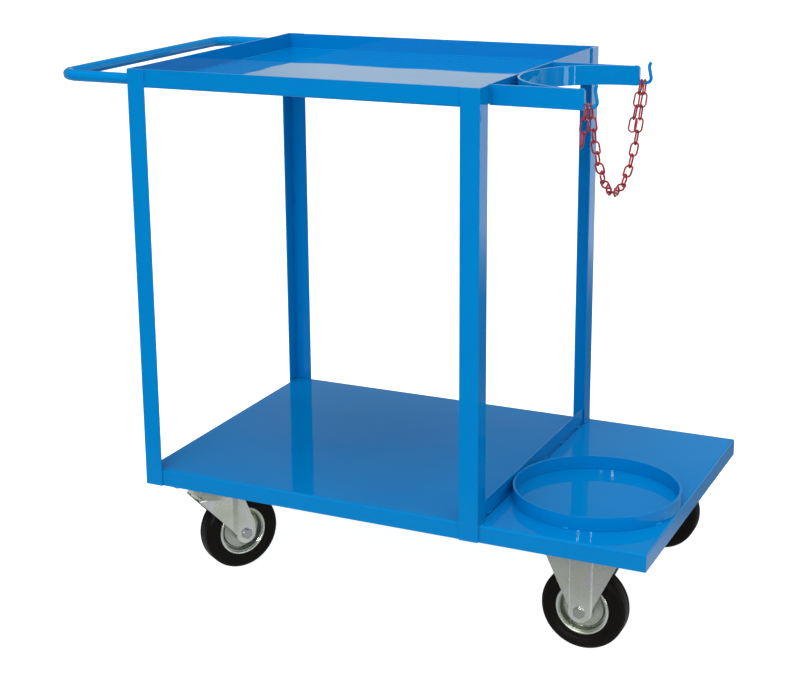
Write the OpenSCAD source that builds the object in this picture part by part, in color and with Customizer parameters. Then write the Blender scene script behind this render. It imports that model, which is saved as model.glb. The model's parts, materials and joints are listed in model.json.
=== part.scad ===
// Torch cart: a welded angle-iron trolley with a tray on top, a flat deck below
// and, past the right-hand uprights, a platform on which one gas cylinder stands.
// +X runs from the push handle to the cylinder platform, -Y is the front, +Z is up.
// The origin is on the floor, in the middle of the overall length and width.

/* [Frame] */
// Length over the four uprights
frame_l = 670; // [520:1:900]
// Width over the four uprights
frame_w = 600; // [560:1:760]
// Length of one upright
upright_h = 780; // [500:1:900]
// Leg width of the angle iron
angle_w = 35; // [30:1:45]
// Thickness of the angle iron
angle_t = 3; // [3:0.5:5]
// Radius at the toe of each leg of the angle iron
angle_toe_r = 1.5; // [0.5:0.1:2.5]

/* [Tray and deck] */
// Height of the tray's upturned rims
tray_rim_h = 33; // [20:1:60]
// Sheet thickness of the tray
tray_t = 2.5; // [1.5:0.1:3]
// Height of the deck's downturned rims
deck_rim_h = 32; // [28:1:50]
// Sheet thickness of the deck and the platform
deck_t = 2.5; // [2:0.1:4]
// Inside radius of every fold
fold_r = 1.5; // [0.5:0.1:3]
// Height of the stop bar between the deck and the platform
lip_h = 30; // [15:1:50]
// Thickness of the stop bar
lip_t = 3; // [2:0.5:5]

/* [Cylinder platform] */
// Outside diameter of the ring on the platform
ring_od = 296; // [240:1:300]
// Distance from the ring to the platform's free edge
ring_edge_gap = 1.7; // [0.5:0.1:60]
// Height of the ring's flat bar
ring_h = 25; // [15:1:40]
// Thickness of the ring's flat bar
ring_t = 4; // [3:0.5:6]
// Distance of the cylinder's axis inside the frame's front side
cylinder_side = 200; // [188:1:260]

/* [Retaining hoop] */
// Outside diameter of the rolled hoop
hoop_od = 296; // [240:1:300]
// Straight length at each end of the hoop
hoop_leg = 12; // [6:1:40]
// Height of the flat bar of the hoop and its two arms
bar_h = 34; // [20:1:50]
// Thickness of that flat bar
bar_t = 4; // [3:0.5:6]
// Corner cut off the ends of the hoop and its arms
bar_end_cut = 3; // [0.5:0.5:5]

/* [Chain and hooks] */
// Diameter of the hooks' round rod
hook_d = 6; // [5:0.1:6.5]
// Angle by which the hooks' risers lean back over the chain
hook_lean = 12; // [0:1:16]
// Height of the rod's centre above the bottom edge of the arm
hook_rise = 6; // [4:0.5:12]
// Bend radius where the rod turns up
hook_bend_r = 8; // [7:0.5:14]
// Straight length of the upturned part
hook_up_l = 15; // [8:1:30]
// Bend radius of the flared tip
hook_tip_r = 13; // [8:1:20]
// Angle through which the tip flares out
hook_tip_a = 50; // [15:1:70]
// Outside length of one chain link
link_l = 29; // [27:0.1:31]
// Outside width of one chain link
link_w = 16; // [15.5:0.1:18]
// Wire diameter of the chain
link_d = 3.1; // [3:0.1:3.6]
// Number of links in the hanging strand
strand_links = 21; // [19:2:25]
// Number of spare links on the front hook
front_tail_links = 3; // [1:1:5]
// Number of spare links on the rear hook
rear_tail_links = 4; // [1:1:5]
// Angle by which the front spare links lean back towards the frame
front_tail_lean = 7; // [3:1:9]
// Angle by which the rear spare links lean back towards the frame
rear_tail_lean = 10; // [3:1:10]

/* [Push handle] */
// Distance from the left-hand uprights to the outside of the handle
handle_reach = 165; // [110:1:260]
// Outside diameter of the handle's tube
handle_d = 20; // [16:1:25]
// Wall of the handle's tube
handle_wall = 2; // [1:0.1:3]
// Distance of the tube's axis below the top of the uprights
handle_drop = 20; // [14:1:60]
// Distance of the tube's axis inside the frame's side
handle_inset = 15; // [13:1:18]
// Bend radius of the tube's axis
handle_bend_r = 40; // [30:1:90]

/* [Castors] */
// Height of a castor from the floor to the top of its plate
castor_h = 185; // [185:1:205]
// Distance of the wheels' middle plane inside the frame's side
castor_side = 70; // [64:1:110]
// Distance of the swivel axis from the left-hand uprights
castor_left = 103; // [95:1:180]
// Distance of the fixed axle from the platform's free edge
castor_right = 123; // [100:1:150]
// Length of a mounting plate
plate_l = 135; // [130:1:140]
// Width of a mounting plate
plate_w = 110; // [108:1:115]
// Thickness of a mounting plate
plate_t = 4; // [3:0.5:5]
// Distance between the plate's holes along the cart
plate_hole_l = 105; // [102:1:108]
// Distance between the plate's holes across the cart
plate_hole_w = 80; // [78:1:84]
// Width of the channels that carry the castors
channel_w = 150; // [144:1:170]
// Thickness of the channels that carry the castors
channel_t = 3; // [2:0.5:4]
// Distance from the swivel axis back to the axle
trail = 50; // [40:1:54]
// Direction in which the front castor trails, from +X
front_angle = 57; // [0:1:359]
// Direction in which the rear castor trails, from +X
rear_angle = 20; // [0:1:359]

/* [Wheels] */
// Diameter of a wheel over its tyre
wheel_d = 150; // [140:1:154]
// Width of the tyre
tyre_w = 40; // [36:1:42]
// Radius of the tyre's shoulders
shoulder_r = 9; // [4:0.5:11]
// Diameter of the steel rim over its rolled edge
rim_d = 95; // [88:1:105]
// Width of the rim over its rolled edges
rim_w = 38; // [34:1:40]
// Thickness of the rim's pressed discs
disc_t = 2; // [1.5:0.1:2.5]
// Outside diameter of the hub tube
hub_d = 36; // [34:0.5:40]
// Wall of the hub tube
hub_wall = 2.7; // [2:0.1:3]
// Length of the hub tube
hub_l = 44; // [40:1:46]
// Outside diameter of the bush round the axle
bush_d = 20; // [18:0.5:20.5]
// Number of rollers in the hub
rollers = 9; // [6:1:10]

/* [Forks] */
// Thickness of the pressed forks
fork_t = 3; // [2.5:0.1:4]
// Distance between the inside faces of a fork's legs
fork_gap = 48; // [46:1:54]
// Depth of the channel pressed into each leg
press_depth = 5; // [3:0.5:7]
// Width of the pressed channel's face
press_w = 40; // [34:1:44]
// Width of a fork's leg at the top of a swivel castor
crown_w = 88; // [80:1:96]
// Width of a fork's leg at the top of a fixed castor
fixed_w = 132; // [110:1:134]
// Radius at the foot of each leg
foot_r = 19; // [17:0.5:24]

/* [Bearings and bolts] */
// Pitch radius of the balls under the plate
race_r = 34; // [32:0.5:35]
// Diameter of the balls
ball_d = 8; // [6:0.5:8.5]
// Number of balls
balls = 18; // [10:1:22]
// Height of the ball race between the plate and the fork
race_h = 21; // [20:0.5:23]
// Diameter of the kingpin
kingpin_d = 12; // [10:0.5:14]
// Diameter of the axle bolt
axle_d = 12; // [10:0.5:13]
// Width across flats of the axle bolt and its nut
axle_af = 19; // [17:0.5:22]
// Diameter of the castor bolts
bolt_d = 10; // [8:0.5:10.5]
// Width across flats of the castor bolts and their nuts
bolt_af = 17; // [14:0.5:17]

/* [Hidden] */
$fn = 64;

// Finishes
blue = "#0682cc";
red = "#b02a36";
zinc = "#b7b9b2";
bright_steel = "#d0d2d0";
black_rubber = "#1d1b19";

// Clearances: between welded curves and flats, and between running parts
weld_gap = 0.3;
run_gap = 0.15;
hole_gap = 0.2;
link_gap = 0.1;
eps = 0.01;

// Lengthwise places: the ring stands against the wall of the deck and sets the platform's length
platform_l = weld_gap + ring_od + ring_edge_gap - angle_t;
total_l = handle_reach + frame_l + platform_l;
x_left = handle_reach - total_l / 2;
x_right = x_left + frame_l;
x_end = x_right + platform_l;
sheet_x0 = x_left + angle_t;
sheet_x1 = x_right - angle_t;

// Crosswise places
half_w = frame_w / 2;
sheet_half_w = half_w - angle_t;
cylinder_y = cylinder_side - half_w;

// Heights
deck_z0 = castor_h;
deck_top = deck_z0 + deck_rim_h;
frame_top = deck_z0 + upright_h;
tray_z0 = frame_top - tray_rim_h;
handle_z = frame_top - handle_drop;
bar_z0 = frame_top - bar_h;

// The ring and the hoop each touch the wall to their left
ring_x = sheet_x1 + weld_gap + ring_od / 2;
hoop_x = sheet_x1 + weld_gap + hoop_od / 2;
hoop_end_x = hoop_x + hoop_leg;

// Hooks and the places where links hang on them
hook_half = hoop_od / 2;
hook_z = bar_z0 + hook_rise;
bar_cut = min(bar_end_cut, hook_rise - hook_d / 2);
tail_x = hoop_end_x + link_d / 2 + 2.2;
strand_x = tail_x + link_d + 2.6;
hook_bend_x = strand_x + link_d / 2 + 1;
rod_reach = hook_d / 2 + link_d / 2 + run_gap;

// Chain: pitch of pulled links, and the catenary of the strand
link_pitch = link_l - 2 * link_d - link_gap;
wire_reach = (link_l - link_d) / 2;
strand_len = 2 * wire_reach + (strand_links - 1) * link_pitch;

// Castors
axle_z = wheel_d / 2;
swivel_x = x_left + castor_left;
fixed_x = x_end - castor_right;
castor_y = half_w - castor_side;
plate_z0 = castor_h - plate_t;
crown_z1 = plate_z0 - race_h;
crown_z0 = crown_z1 - fork_t;
race_z = crown_z1 + race_h / 2;
race_split = 1.5;
press_in = fork_gap / 2 + press_depth;
press_out = press_in + fork_t;
steep = 4;
long_step = 13;
hole_xy = [for (sx = [-1, 1], sy = [-1, 1]) [sx * plate_hole_l / 2, sy * plate_hole_w / 2]];

// Fasteners
axle_head_h = 7.5;
axle_nut_h = 10;
axle_thread_end = 3;
bolt_head_h = 6.4;
bolt_nut_h = 8;
bolt_thread_end = 3;
kingpin_head_h = 4;
kingpin_head_r = 4;
kingpin_nut_h = 7;

function cosh(x) = (exp(x) + exp(-x)) / 2;
function sinh(x) = (exp(x) - exp(-x)) / 2;
function asinh(x) = ln(x + sqrt(x * x + 1));

// Catenary parameter for a given half length and half span, by bisection
function catenary_a(half_len, half_span, lo, hi, n = 40) =
    n == 0 ? (lo + hi) / 2 :
    let (mid = (lo + hi) / 2)
    mid * sinh(half_span / mid) > half_len
        ? catenary_a(half_len, half_span, mid, hi, n - 1)
        : catenary_a(half_len, half_span, lo, mid, n - 1);

// The end links lean inwards, so their tops lie a little outside and below the rods' tops
first_a = catenary_a(strand_len / 2, hook_half, 20, 4000);
end_slope = atan((strand_len / 2 - wire_reach) / first_a);
strand_half_span = hook_half + rod_reach * cos(end_slope);
strand_z = hook_z + rod_reach * sin(end_slope);
strand_a = catenary_a(strand_len / 2, strand_half_span, 20, 4000);
strand_low = strand_z - strand_a * (cosh(strand_half_span / strand_a) - 1);

// Place [y, z] on the strand's centre line at a length s from its lowest point
function strand_point(s) = [
    cylinder_y + strand_a * asinh(s / strand_a),
    strand_low + sqrt(strand_a * strand_a + s * s) - strand_a
];

// ---- frame -----------------------------------------------------------------

// One leg of the angle iron, its heel at the origin, its toe rounded inside
module angle_leg() {
    square([angle_w - angle_toe_r, angle_t]);
    square([angle_w, angle_t - angle_toe_r]);
    translate([angle_w - angle_toe_r, angle_t - angle_toe_r]) circle(angle_toe_r, $fn = 24);
}

module angle_section() {
    angle_leg();
    mirror([1, -1]) angle_leg();
}

// An upright with its heel at the frame's corner on the side (sx, sy)
module upright(sx, sy) {
    x = sx < 0 ? x_left : x_right;
    color(blue)
        translate([x, sy * half_w, deck_z0])
            mirror([sx > 0 ? 1 : 0, 0]) mirror([0, sy > 0 ? 1 : 0])
                linear_extrude(upright_h) angle_section();
}

module front_left_upright() { upright(-1, -1); }
module front_right_upright() { upright(1, -1); }
module rear_left_upright() { upright(-1, 1); }
module rear_right_upright() { upright(1, 1); }

// ---- folded sheet ----------------------------------------------------------

// A rectangle on the X axis with its two lower corners rounded
module pan_profile(l, h, r) {
    translate([-l / 2, r]) square([l, h - r]);
    translate([r - l / 2, 0]) square([l - 2 * r, h]);
    for (s = [-1, 1]) translate([s * (l / 2 - r), r]) circle(r, $fn = 32);
}

module pan_block(l, w, h, r) {
    intersection() {
        rotate([90, 0, 0]) linear_extrude(w, center = true) pan_profile(l, h, r);
        rotate([90, 0, 90]) linear_extrude(l, center = true) pan_profile(w, h, r);
    }
}

// A sheet with four folded rims that rise from z = 0
module folded_pan(l, w, h, t) {
    difference() {
        pan_block(l, w, h, fold_r + t);
        translate([0, 0, t]) pan_block(l - 2 * t, w - 2 * t, h, fold_r);
    }
}

module top_tray() {
    color(blue)
        translate([(sheet_x0 + sheet_x1) / 2, 0, tray_z0])
            folded_pan(sheet_x1 - sheet_x0, 2 * sheet_half_w, tray_rim_h, tray_t);
}

module main_deck() {
    color(blue)
        translate([(sheet_x0 + sheet_x1) / 2, 0, deck_top])
            mirror([0, 0, 1])
                folded_pan(sheet_x1 - sheet_x0, 2 * sheet_half_w, deck_rim_h, deck_t);
}

// The platform's corners are notched round the legs of the right-hand uprights
module cylinder_platform() {
    notch_y = half_w - angle_w - weld_gap;
    color(blue)
        difference() {
            translate([(sheet_x1 + x_end) / 2, 0, deck_top])
                mirror([0, 0, 1])
                    folded_pan(x_end - sheet_x1, 2 * sheet_half_w, deck_rim_h, deck_t);
            for (s = [0, 1])
                mirror([0, s, 0])
                    translate([sheet_x1 - 1, notch_y, deck_z0 - 1])
                        cube([1 + angle_t + weld_gap, angle_w + 1, deck_rim_h + 2]);
        }
}

module stop_bar() {
    color(blue)
        translate([sheet_x1 - lip_t, -sheet_half_w, deck_top])
            cube([lip_t, 2 * sheet_half_w, lip_h]);
}

// A channel under the deck, its web flush with the rims' lower edges
module castor_channel(x) {
    l = 2 * (sheet_half_w - deck_t - fold_r);
    h = deck_rim_h - deck_t;
    color(blue)
        difference() {
            translate([x - channel_w / 2, -l / 2, deck_z0]) cube([channel_w, l, h]);
            translate([x - channel_w / 2 + channel_t, -l / 2 - 1, deck_z0 + channel_t])
                cube([channel_w - 2 * channel_t, l + 2, h]);
            for (sy = [-1, 1], p = hole_xy)
                translate([x + p[0], sy * castor_y + p[1], deck_z0 - 1])
                    cylinder(d = bolt_d + 2 * hole_gap, h = channel_t + 2, $fn = 32);
        }
}

module left_castor_channel() { castor_channel(swivel_x); }
module right_castor_channel() { castor_channel(fixed_x); }

// ---- push handle -----------------------------------------------------------

// The handle's path filled to a diameter d, its ends on the uprights' faces
module handle_path(d, past = 0) {
    y = half_w - handle_inset;
    x = x_left - handle_reach + handle_d / 2;
    straight = x_left - x - handle_bend_r;
    for (s = [-1, 1]) {
        translate([x_left - straight, s * y, handle_z])
            rotate([0, 90, 0]) cylinder(d = d, h = straight + past);
        translate([x + handle_bend_r, s * (y - handle_bend_r), handle_z])
            rotate([0, 0, s > 0 ? 90 : 180])
                rotate_extrude(angle = 90) translate([handle_bend_r, 0]) circle(d = d);
    }
    translate([x, handle_bend_r - y, handle_z])
        rotate([-90, 0, 0]) cylinder(d = d, h = 2 * (y - handle_bend_r));
}

module push_handle() {
    color(blue)
        difference() {
            handle_path(handle_d);
            handle_path(handle_d - 2 * handle_wall, 1);
        }
}

// ---- cylinder ring, hoop and arms ------------------------------------------

module cylinder_ring() {
    color(blue)
        translate([ring_x, cylinder_y, deck_top])
            difference() {
                cylinder(d = ring_od, h = ring_h, $fn = 128);
                translate([0, 0, -1])
                    cylinder(d = ring_od - 2 * ring_t, h = ring_h + 2, $fn = 128);
            }
}

// A straight of flat bar along +X, the two corners of its far end cut off
module bar_straight(l) {
    translate([0, bar_t, 0])
        rotate([90, 0, 0])
            linear_extrude(bar_t)
                polygon([[0, 0], [l - bar_cut, 0], [l, bar_cut],
                         [l, bar_h - bar_cut], [l - bar_cut, bar_h], [0, bar_h]]);
}

// Half a circle of flat bar that opens to +X, with a short straight at each end
module retaining_hoop() {
    r = hoop_od / 2;
    color(blue)
        translate([hoop_x, cylinder_y, bar_z0]) {
            rotate([0, 0, 90])
                rotate_extrude(angle = 180, $fn = 128)
                    translate([r - bar_t, 0]) square([bar_t, bar_h]);
            for (y = [-r, r - bar_t]) translate([0, y, 0]) bar_straight(hoop_leg);
        }
}

// A straight arm from the tray's rim along the outside of the hoop's end
module hoop_arm(side) {
    y = cylinder_y + side * hoop_od / 2 - (side < 0 ? bar_t : 0);
    color(blue)
        translate([sheet_x1, y, bar_z0]) bar_straight(hoop_end_x - sheet_x1);
}

module front_hoop_arm() { hoop_arm(-1); }
module rear_hoop_arm() { hoop_arm(1); }

// ---- chain hooks -----------------------------------------------------------

// A bend of rod in the XZ plane that starts at the origin along +X
module rod_bend(r, a) {
    translate([0, 0, r])
        rotate([90, 0, 0])
            rotate([0, 0, -90]) rotate_extrude(angle = a) translate([r, 0]) circle(d = hook_d);
}

// The rod stands on the ends of the hoop and the arm, turns up, leans back and flares out
module chain_hook(side) {
    foot_l = hook_bend_x - hoop_end_x - eps;
    a = 90 + hook_lean;
    color(blue)
        translate([hook_bend_x, cylinder_y + side * hook_half, hook_z]) {
            translate([-foot_l, 0, 0]) rotate([0, 90, 0]) cylinder(d = hook_d, h = foot_l);
            rod_bend(hook_bend_r, a);
            translate([hook_bend_r * sin(a), 0, hook_bend_r * (1 - cos(a))])
                rotate([0, -hook_lean, 0]) {
                    cylinder(d = hook_d, h = hook_up_l);
                    translate([0, 0, hook_up_l])
                        rotate([0, -90, 180]) rod_bend(hook_tip_r, hook_tip_a);
                }
        }
}

module front_chain_hook() { chain_hook(-1); }
module rear_chain_hook() { chain_hook(1); }

// ---- chain -----------------------------------------------------------------

// One link in the XZ plane, its length along Z
module chain_link() {
    r = (link_w - link_d) / 2;
    straight = link_l - link_w;
    for (s = [0, 1]) {
        translate([s ? r : -r, 0, -straight / 2]) cylinder(d = link_d, h = straight, $fn = 24);
        rotate([0, s * 180, 0])
            translate([0, 0, straight / 2])
                rotate([90, 0, 0])
                    rotate_extrude(angle = 180, $fn = 48)
                        translate([r, 0]) circle(d = link_d, $fn = 24);
    }
}

// Links that hang between the two hooks; every second one is turned a quarter
module chain_strand() {
    color(red)
        for (i = [0:strand_links - 1]) {
            s = -strand_len / 2 + i * link_pitch;
            p = strand_point(s);
            q = strand_point(s + 2 * wire_reach);
            translate([strand_x, (p[0] + q[0]) / 2, (p[1] + q[1]) / 2])
                rotate([atan2(q[1] - p[1], q[0] - p[0]) - 90, 0, 0])
                    rotate([0, 0, i % 2 == 0 ? 90 : 0]) chain_link();
        }
}

// Spare links that hang from one hook, nearer the arm than the strand
module chain_tail(side, count, lean) {
    color(red)
        translate([tail_x, cylinder_y + side * hook_half, hook_z + rod_reach])
            rotate([0, lean, 0])
                for (i = [0:count - 1])
                    translate([0, 0, -wire_reach - i * link_pitch])
                        rotate([0, 0, i % 2 == 0 ? 90 : 0]) chain_link();
}

module front_chain_tail() { chain_tail(-1, front_tail_links, front_tail_lean); }
module rear_chain_tail() { chain_tail(1, rear_tail_links, rear_tail_lean); }

// ---- castor fasteners ------------------------------------------------------

module hex_prism(af, h) {
    cylinder(d = af / cos(30), h = h, $fn = 6);
}

module at_castor_bolts() {
    for (x = [swivel_x, fixed_x], sy = [-1, 1], p = hole_xy)
        translate([x + p[0], sy * castor_y + p[1], 0]) children();
}

module castor_bolts() {
    shank_l = plate_t + channel_t + bolt_nut_h + bolt_thread_end;
    color(zinc)
        at_castor_bolts() {
            translate([0, 0, plate_z0 - bolt_head_h]) hex_prism(bolt_af, bolt_head_h);
            translate([0, 0, plate_z0]) cylinder(d = bolt_d, h = shank_l, $fn = 32);
        }
}

module castor_nuts() {
    color(zinc)
        at_castor_bolts()
            translate([0, 0, deck_z0 + channel_t])
                difference() {
                    hex_prism(bolt_af, bolt_nut_h);
                    translate([0, 0, -1])
                        cylinder(d = bolt_d + 2 * run_gap, h = bolt_nut_h + 2, $fn = 32);
                }
}

module kingpin_nuts() {
    color(zinc)
        for (sy = [-1, 1])
            translate([swivel_x, sy * castor_y, crown_z0 - run_gap - kingpin_nut_h])
                difference() {
                    hex_prism(axle_af, kingpin_nut_h);
                    translate([0, 0, -1])
                        cylinder(d = kingpin_d + 2 * run_gap, h = kingpin_nut_h + 2);
                }
}

// ---- swivel castors --------------------------------------------------------

// Puts a part drawn about the kingpin, trailing to +X, at the side and angle
module at_swivel(side, a = 0) {
    translate([swivel_x, side * castor_y, 0]) rotate([0, 0, a]) children();
}

// Rectangle from (r0, z0) to (r1, z1) in the half plane of a turned part
module band(r0, r1, z0, z1) {
    translate([r0, z0]) square([r1 - r0, z1 - z0]);
}

module race_groove() {
    translate([race_r, race_z]) circle(d = ball_d + 2 * run_gap, $fn = 48);
}

// Mounting plate with the upper ball race and its dust skirt pressed under it
module top_plate(side) {
    race_out = race_r + ball_d / 2 + 4;
    race_in = race_r - ball_d / 2 - 4;
    skirt_in = race_out + 3;
    color(zinc)
        at_swivel(side)
            difference() {
                union() {
                    translate([-plate_l / 2, -plate_w / 2, plate_z0])
                        cube([plate_l, plate_w, plate_t]);
                    rotate_extrude()
                        difference() {
                            union() {
                                band(race_in, race_out, race_z + race_split, plate_z0 + eps);
                                band(race_in, skirt_in + 2.5, plate_z0 - 2.5, plate_z0 + eps);
                                band(skirt_in, skirt_in + 2.5, race_z - 5, plate_z0 + eps);
                            }
                            race_groove();
                        }
                }
                for (p = hole_xy)
                    translate([p[0], p[1], plate_z0 - 1])
                        cylinder(d = bolt_d + 2 * hole_gap, h = plate_t + 2, $fn = 32);
                translate([0, 0, plate_z0 - 1])
                    cylinder(d = kingpin_d + 2 * run_gap, h = plate_t + 2);
                translate([0, 0, castor_h - kingpin_head_h])
                    cylinder(
                        r1 = kingpin_d / 2 + run_gap,
                        r2 = kingpin_d / 2 + kingpin_head_r + run_gap,
                        h = kingpin_head_h + eps
                    );
            }
}

// Countersunk pin from the top of the plate to below the fork's crown
module kingpin(side) {
    z0 = crown_z0 - run_gap - kingpin_nut_h - 2;
    color(bright_steel)
        at_swivel(side) {
            translate([0, 0, z0]) cylinder(d = kingpin_d, h = castor_h - z0);
            translate([0, 0, castor_h - kingpin_head_h])
                cylinder(r1 = kingpin_d / 2, r2 = kingpin_d / 2 + kingpin_head_r,
                    h = kingpin_head_h);
        }
}

module race_balls(side) {
    color(bright_steel)
        at_swivel(side)
            for (i = [0:balls - 1])
                rotate([0, 0, i * 360 / balls])
                    translate([race_r, 0, race_z]) sphere(d = ball_d, $fn = 24);
}

// Section of a leg seen from above: flat wings and a raised channel at x = c,
// with a slanted step on its left and a steep one on its right
module leg_plan(c, left, right, slant) {
    y0 = fork_gap / 2;
    y1 = y0 + press_depth;
    a = c - press_w / 2;
    b = c + press_w / 2;
    lap_l = fork_t * tan(atan(press_depth / slant) / 2);
    lap_r = fork_t * tan(atan(press_depth / steep) / 2);
    polygon([
        [left, y0], [a - slant + lap_l, y0], [a + lap_l, y1],
        [b - lap_r, y1], [b + steep - lap_r, y0], [right, y0],
        [right, y0 + fork_t], [b + steep, y0 + fork_t], [b, y1 + fork_t],
        [a, y1 + fork_t], [a - slant, y0 + fork_t], [left, y0 + fork_t]
    ]);
}

// Two legs of a fork: the plan section trimmed to the side outline of children
module fork_legs(c, left, right, slant, top) {
    for (s = [0, 1])
        mirror([0, s, 0])
            intersection() {
                translate([0, 0, axle_z - foot_r - 1])
                    linear_extrude(top - axle_z + foot_r + 1) leg_plan(c, left, right, slant);
                rotate([90, 0, 0])
                    translate([0, 0, -press_out - 1]) linear_extrude(press_out + 1) children();
            }
}

module axle_hole(c) {
    translate([c, 0, axle_z])
        rotate([90, 0, 0])
            cylinder(d = axle_d + 2 * hole_gap, h = 2 * press_out + 2, center = true);
}

// Side outline of a swivel fork's leg, from its wide crown to the round foot
module swivel_outline() {
    half = crown_w / 2;
    rise = foot_r;
    polygon([
        [-half, crown_z1], [half, crown_z1], [trail + foot_r - 1, axle_z + rise],
        [trail + foot_r, axle_z], [trail - foot_r, axle_z],
        [trail - press_w / 2 - long_step - 3, axle_z + rise], [-half, crown_z0 - 1]
    ]);
    translate([trail, axle_z]) circle(foot_r);
}

module swivel_fork(side, a) {
    race_out = race_r + ball_d / 2 + 5;
    race_in = race_r - ball_d / 2 - 5;
    color(zinc)
        at_swivel(side, a)
            difference() {
                union() {
                    fork_legs(trail, -crown_w / 2, trail + crown_w, long_step, crown_z1)
                        swivel_outline();
                    translate([-crown_w / 2, -fork_gap / 2 - eps, crown_z0])
                        cube([crown_w, fork_gap + 2 * eps, fork_t]);
                    rotate_extrude()
                        difference() {
                            band(race_in, race_out, crown_z1 - eps, race_z - race_split);
                            race_groove();
                        }
                }
                axle_hole(trail);
                translate([0, 0, crown_z0 - 1])
                    cylinder(d = kingpin_d + 2 * hole_gap, h = fork_t + 2);
            }
}

// ---- axle and wheel, drawn about a point on the axle -----------------------

// Bolt along Y with its head on the side of hand, through both legs
module axle_bolt(hand) {
    color(zinc)
        rotate([90 * hand, 0, 0]) {
            translate([0, 0, -press_out - axle_head_h]) hex_prism(axle_af, axle_head_h);
            translate([0, 0, -press_out])
                cylinder(d = axle_d, h = 2 * press_out + axle_nut_h + axle_thread_end);
        }
}

module axle_nut(hand) {
    color(zinc)
        rotate([90 * hand, 0, 0])
            translate([0, 0, press_out])
                difference() {
                    hex_prism(axle_af, axle_nut_h);
                    translate([0, 0, -1])
                        cylinder(d = axle_d + 2 * run_gap, h = axle_nut_h + 2);
                }
}

// A length of tube centred on the axle
module axle_tube(od, id, l) {
    rotate([90, 0, 0])
        difference() {
            cylinder(d = od, h = l, center = true);
            cylinder(d = id, h = l + 2, center = true);
        }
}

module bush() {
    color(bright_steel) axle_tube(bush_d, axle_d + 2 * hole_gap, 2 * (press_in - run_gap));
}

module roller_set() {
    hub_in = hub_d / 2 - hub_wall;
    roller_d = hub_in - bush_d / 2 - 2 * run_gap;
    color(bright_steel)
        rotate([90, 0, 0])
            for (i = [0:rollers - 1])
                rotate([0, 0, i * 360 / rollers])
                    translate([(hub_in + bush_d / 2) / 2, 0, 0])
                        cylinder(d = roller_d, h = hub_l - 4, center = true, $fn = 24);
}

// Section of one pressed disc: collar, dished web, well and rolled edge
module disc_section() {
    edge_r = disc_t;
    well_r = rim_d / 2 - 5.5;
    web_z = rim_w / 2 - 11;
    band(hub_d / 2, hub_d / 2 + disc_t, web_z, rim_w / 2 - 1);
    polygon([
        [hub_d / 2, web_z], [well_r, web_z], [well_r, web_z + disc_t],
        [hub_d / 2 + 12, web_z + disc_t], [hub_d / 2 + 5, web_z + disc_t + 3.5],
        [hub_d / 2, web_z + disc_t + 3.5]
    ]);
    band(well_r - disc_t, well_r, web_z, rim_w / 2 - edge_r);
    band(well_r - disc_t, rim_d / 2 - edge_r, rim_w / 2 - edge_r - disc_t, rim_w / 2 - edge_r);
    translate([rim_d / 2 - edge_r, rim_w / 2 - edge_r]) circle(edge_r, $fn = 32);
}

// The hub tube and the two discs that grip it
module rim() {
    color(zinc) {
        axle_tube(hub_d, hub_d - 2 * hub_wall, hub_l);
        for (s = [-1, 1]) rotate([90 * s, 0, 0]) rotate_extrude($fn = 96) disc_section();
    }
}

// Half of the tyre's section: the part held between the discs and the tread
module tyre_half_section() {
    well_r = rim_d / 2 - 5.5;
    side_r = rim_d / 2 + run_gap;
    tread_r = wheel_d / 2;
    seat_w = rim_w / 2 - 2 * disc_t - run_gap;
    tread_w = tyre_w / 2;
    band(well_r + run_gap, side_r + eps, 0, seat_w);
    band(side_r, tread_r, 0, tread_w - shoulder_r);
    band(side_r, tread_r - shoulder_r, 0, tread_w - 1);
    translate([tread_r - shoulder_r, tread_w - shoulder_r]) circle(shoulder_r, $fn = 48);
}

// Solid rubber tyre with ribs on the tread and a raised ring on each wall
module tyre() {
    groove_r = 1;
    color(black_rubber)
        rotate([90, 0, 0])
            rotate_extrude($fn = 128)
                difference() {
                    for (s = [0, 1]) mirror([0, s]) tyre_half_section();
                    for (y = [-1, 1] * (tyre_w / 2 - shoulder_r) * 0.6)
                        translate([wheel_d / 2, y]) circle(groove_r, $fn = 24);
                    for (y = [-1, 1] * (tyre_w / 2 - 1))
                        translate([rim_d / 2 + 9, y]) circle(groove_r, $fn = 24);
                }
}

module on_swivel_axle(side, a) {
    at_swivel(side, a) translate([trail, 0, axle_z]) children();
}

module front_left_top_plate() { top_plate(-1); }
module front_left_kingpin() { kingpin(-1); }
module front_left_balls() { race_balls(-1); }
module front_left_fork() { swivel_fork(-1, front_angle); }
module front_left_axle_bolt() { on_swivel_axle(-1, front_angle) axle_bolt(-1); }
module front_left_axle_nut() { on_swivel_axle(-1, front_angle) axle_nut(-1); }
module front_left_bush() { on_swivel_axle(-1, front_angle) bush(); }
module front_left_rollers() { on_swivel_axle(-1, front_angle) roller_set(); }
module front_left_rim() { on_swivel_axle(-1, front_angle) rim(); }
module front_left_tyre() { on_swivel_axle(-1, front_angle) tyre(); }

module rear_left_top_plate() { top_plate(1); }
module rear_left_kingpin() { kingpin(1); }
module rear_left_balls() { race_balls(1); }
module rear_left_fork() { swivel_fork(1, rear_angle); }
module rear_left_axle_bolt() { on_swivel_axle(1, rear_angle) axle_bolt(1); }
module rear_left_axle_nut() { on_swivel_axle(1, rear_angle) axle_nut(1); }
module rear_left_bush() { on_swivel_axle(1, rear_angle) bush(); }
module rear_left_rollers() { on_swivel_axle(1, rear_angle) roller_set(); }
module rear_left_rim() { on_swivel_axle(1, rear_angle) rim(); }
module rear_left_tyre() { on_swivel_axle(1, rear_angle) tyre(); }

// ---- fixed castors ---------------------------------------------------------

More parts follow.
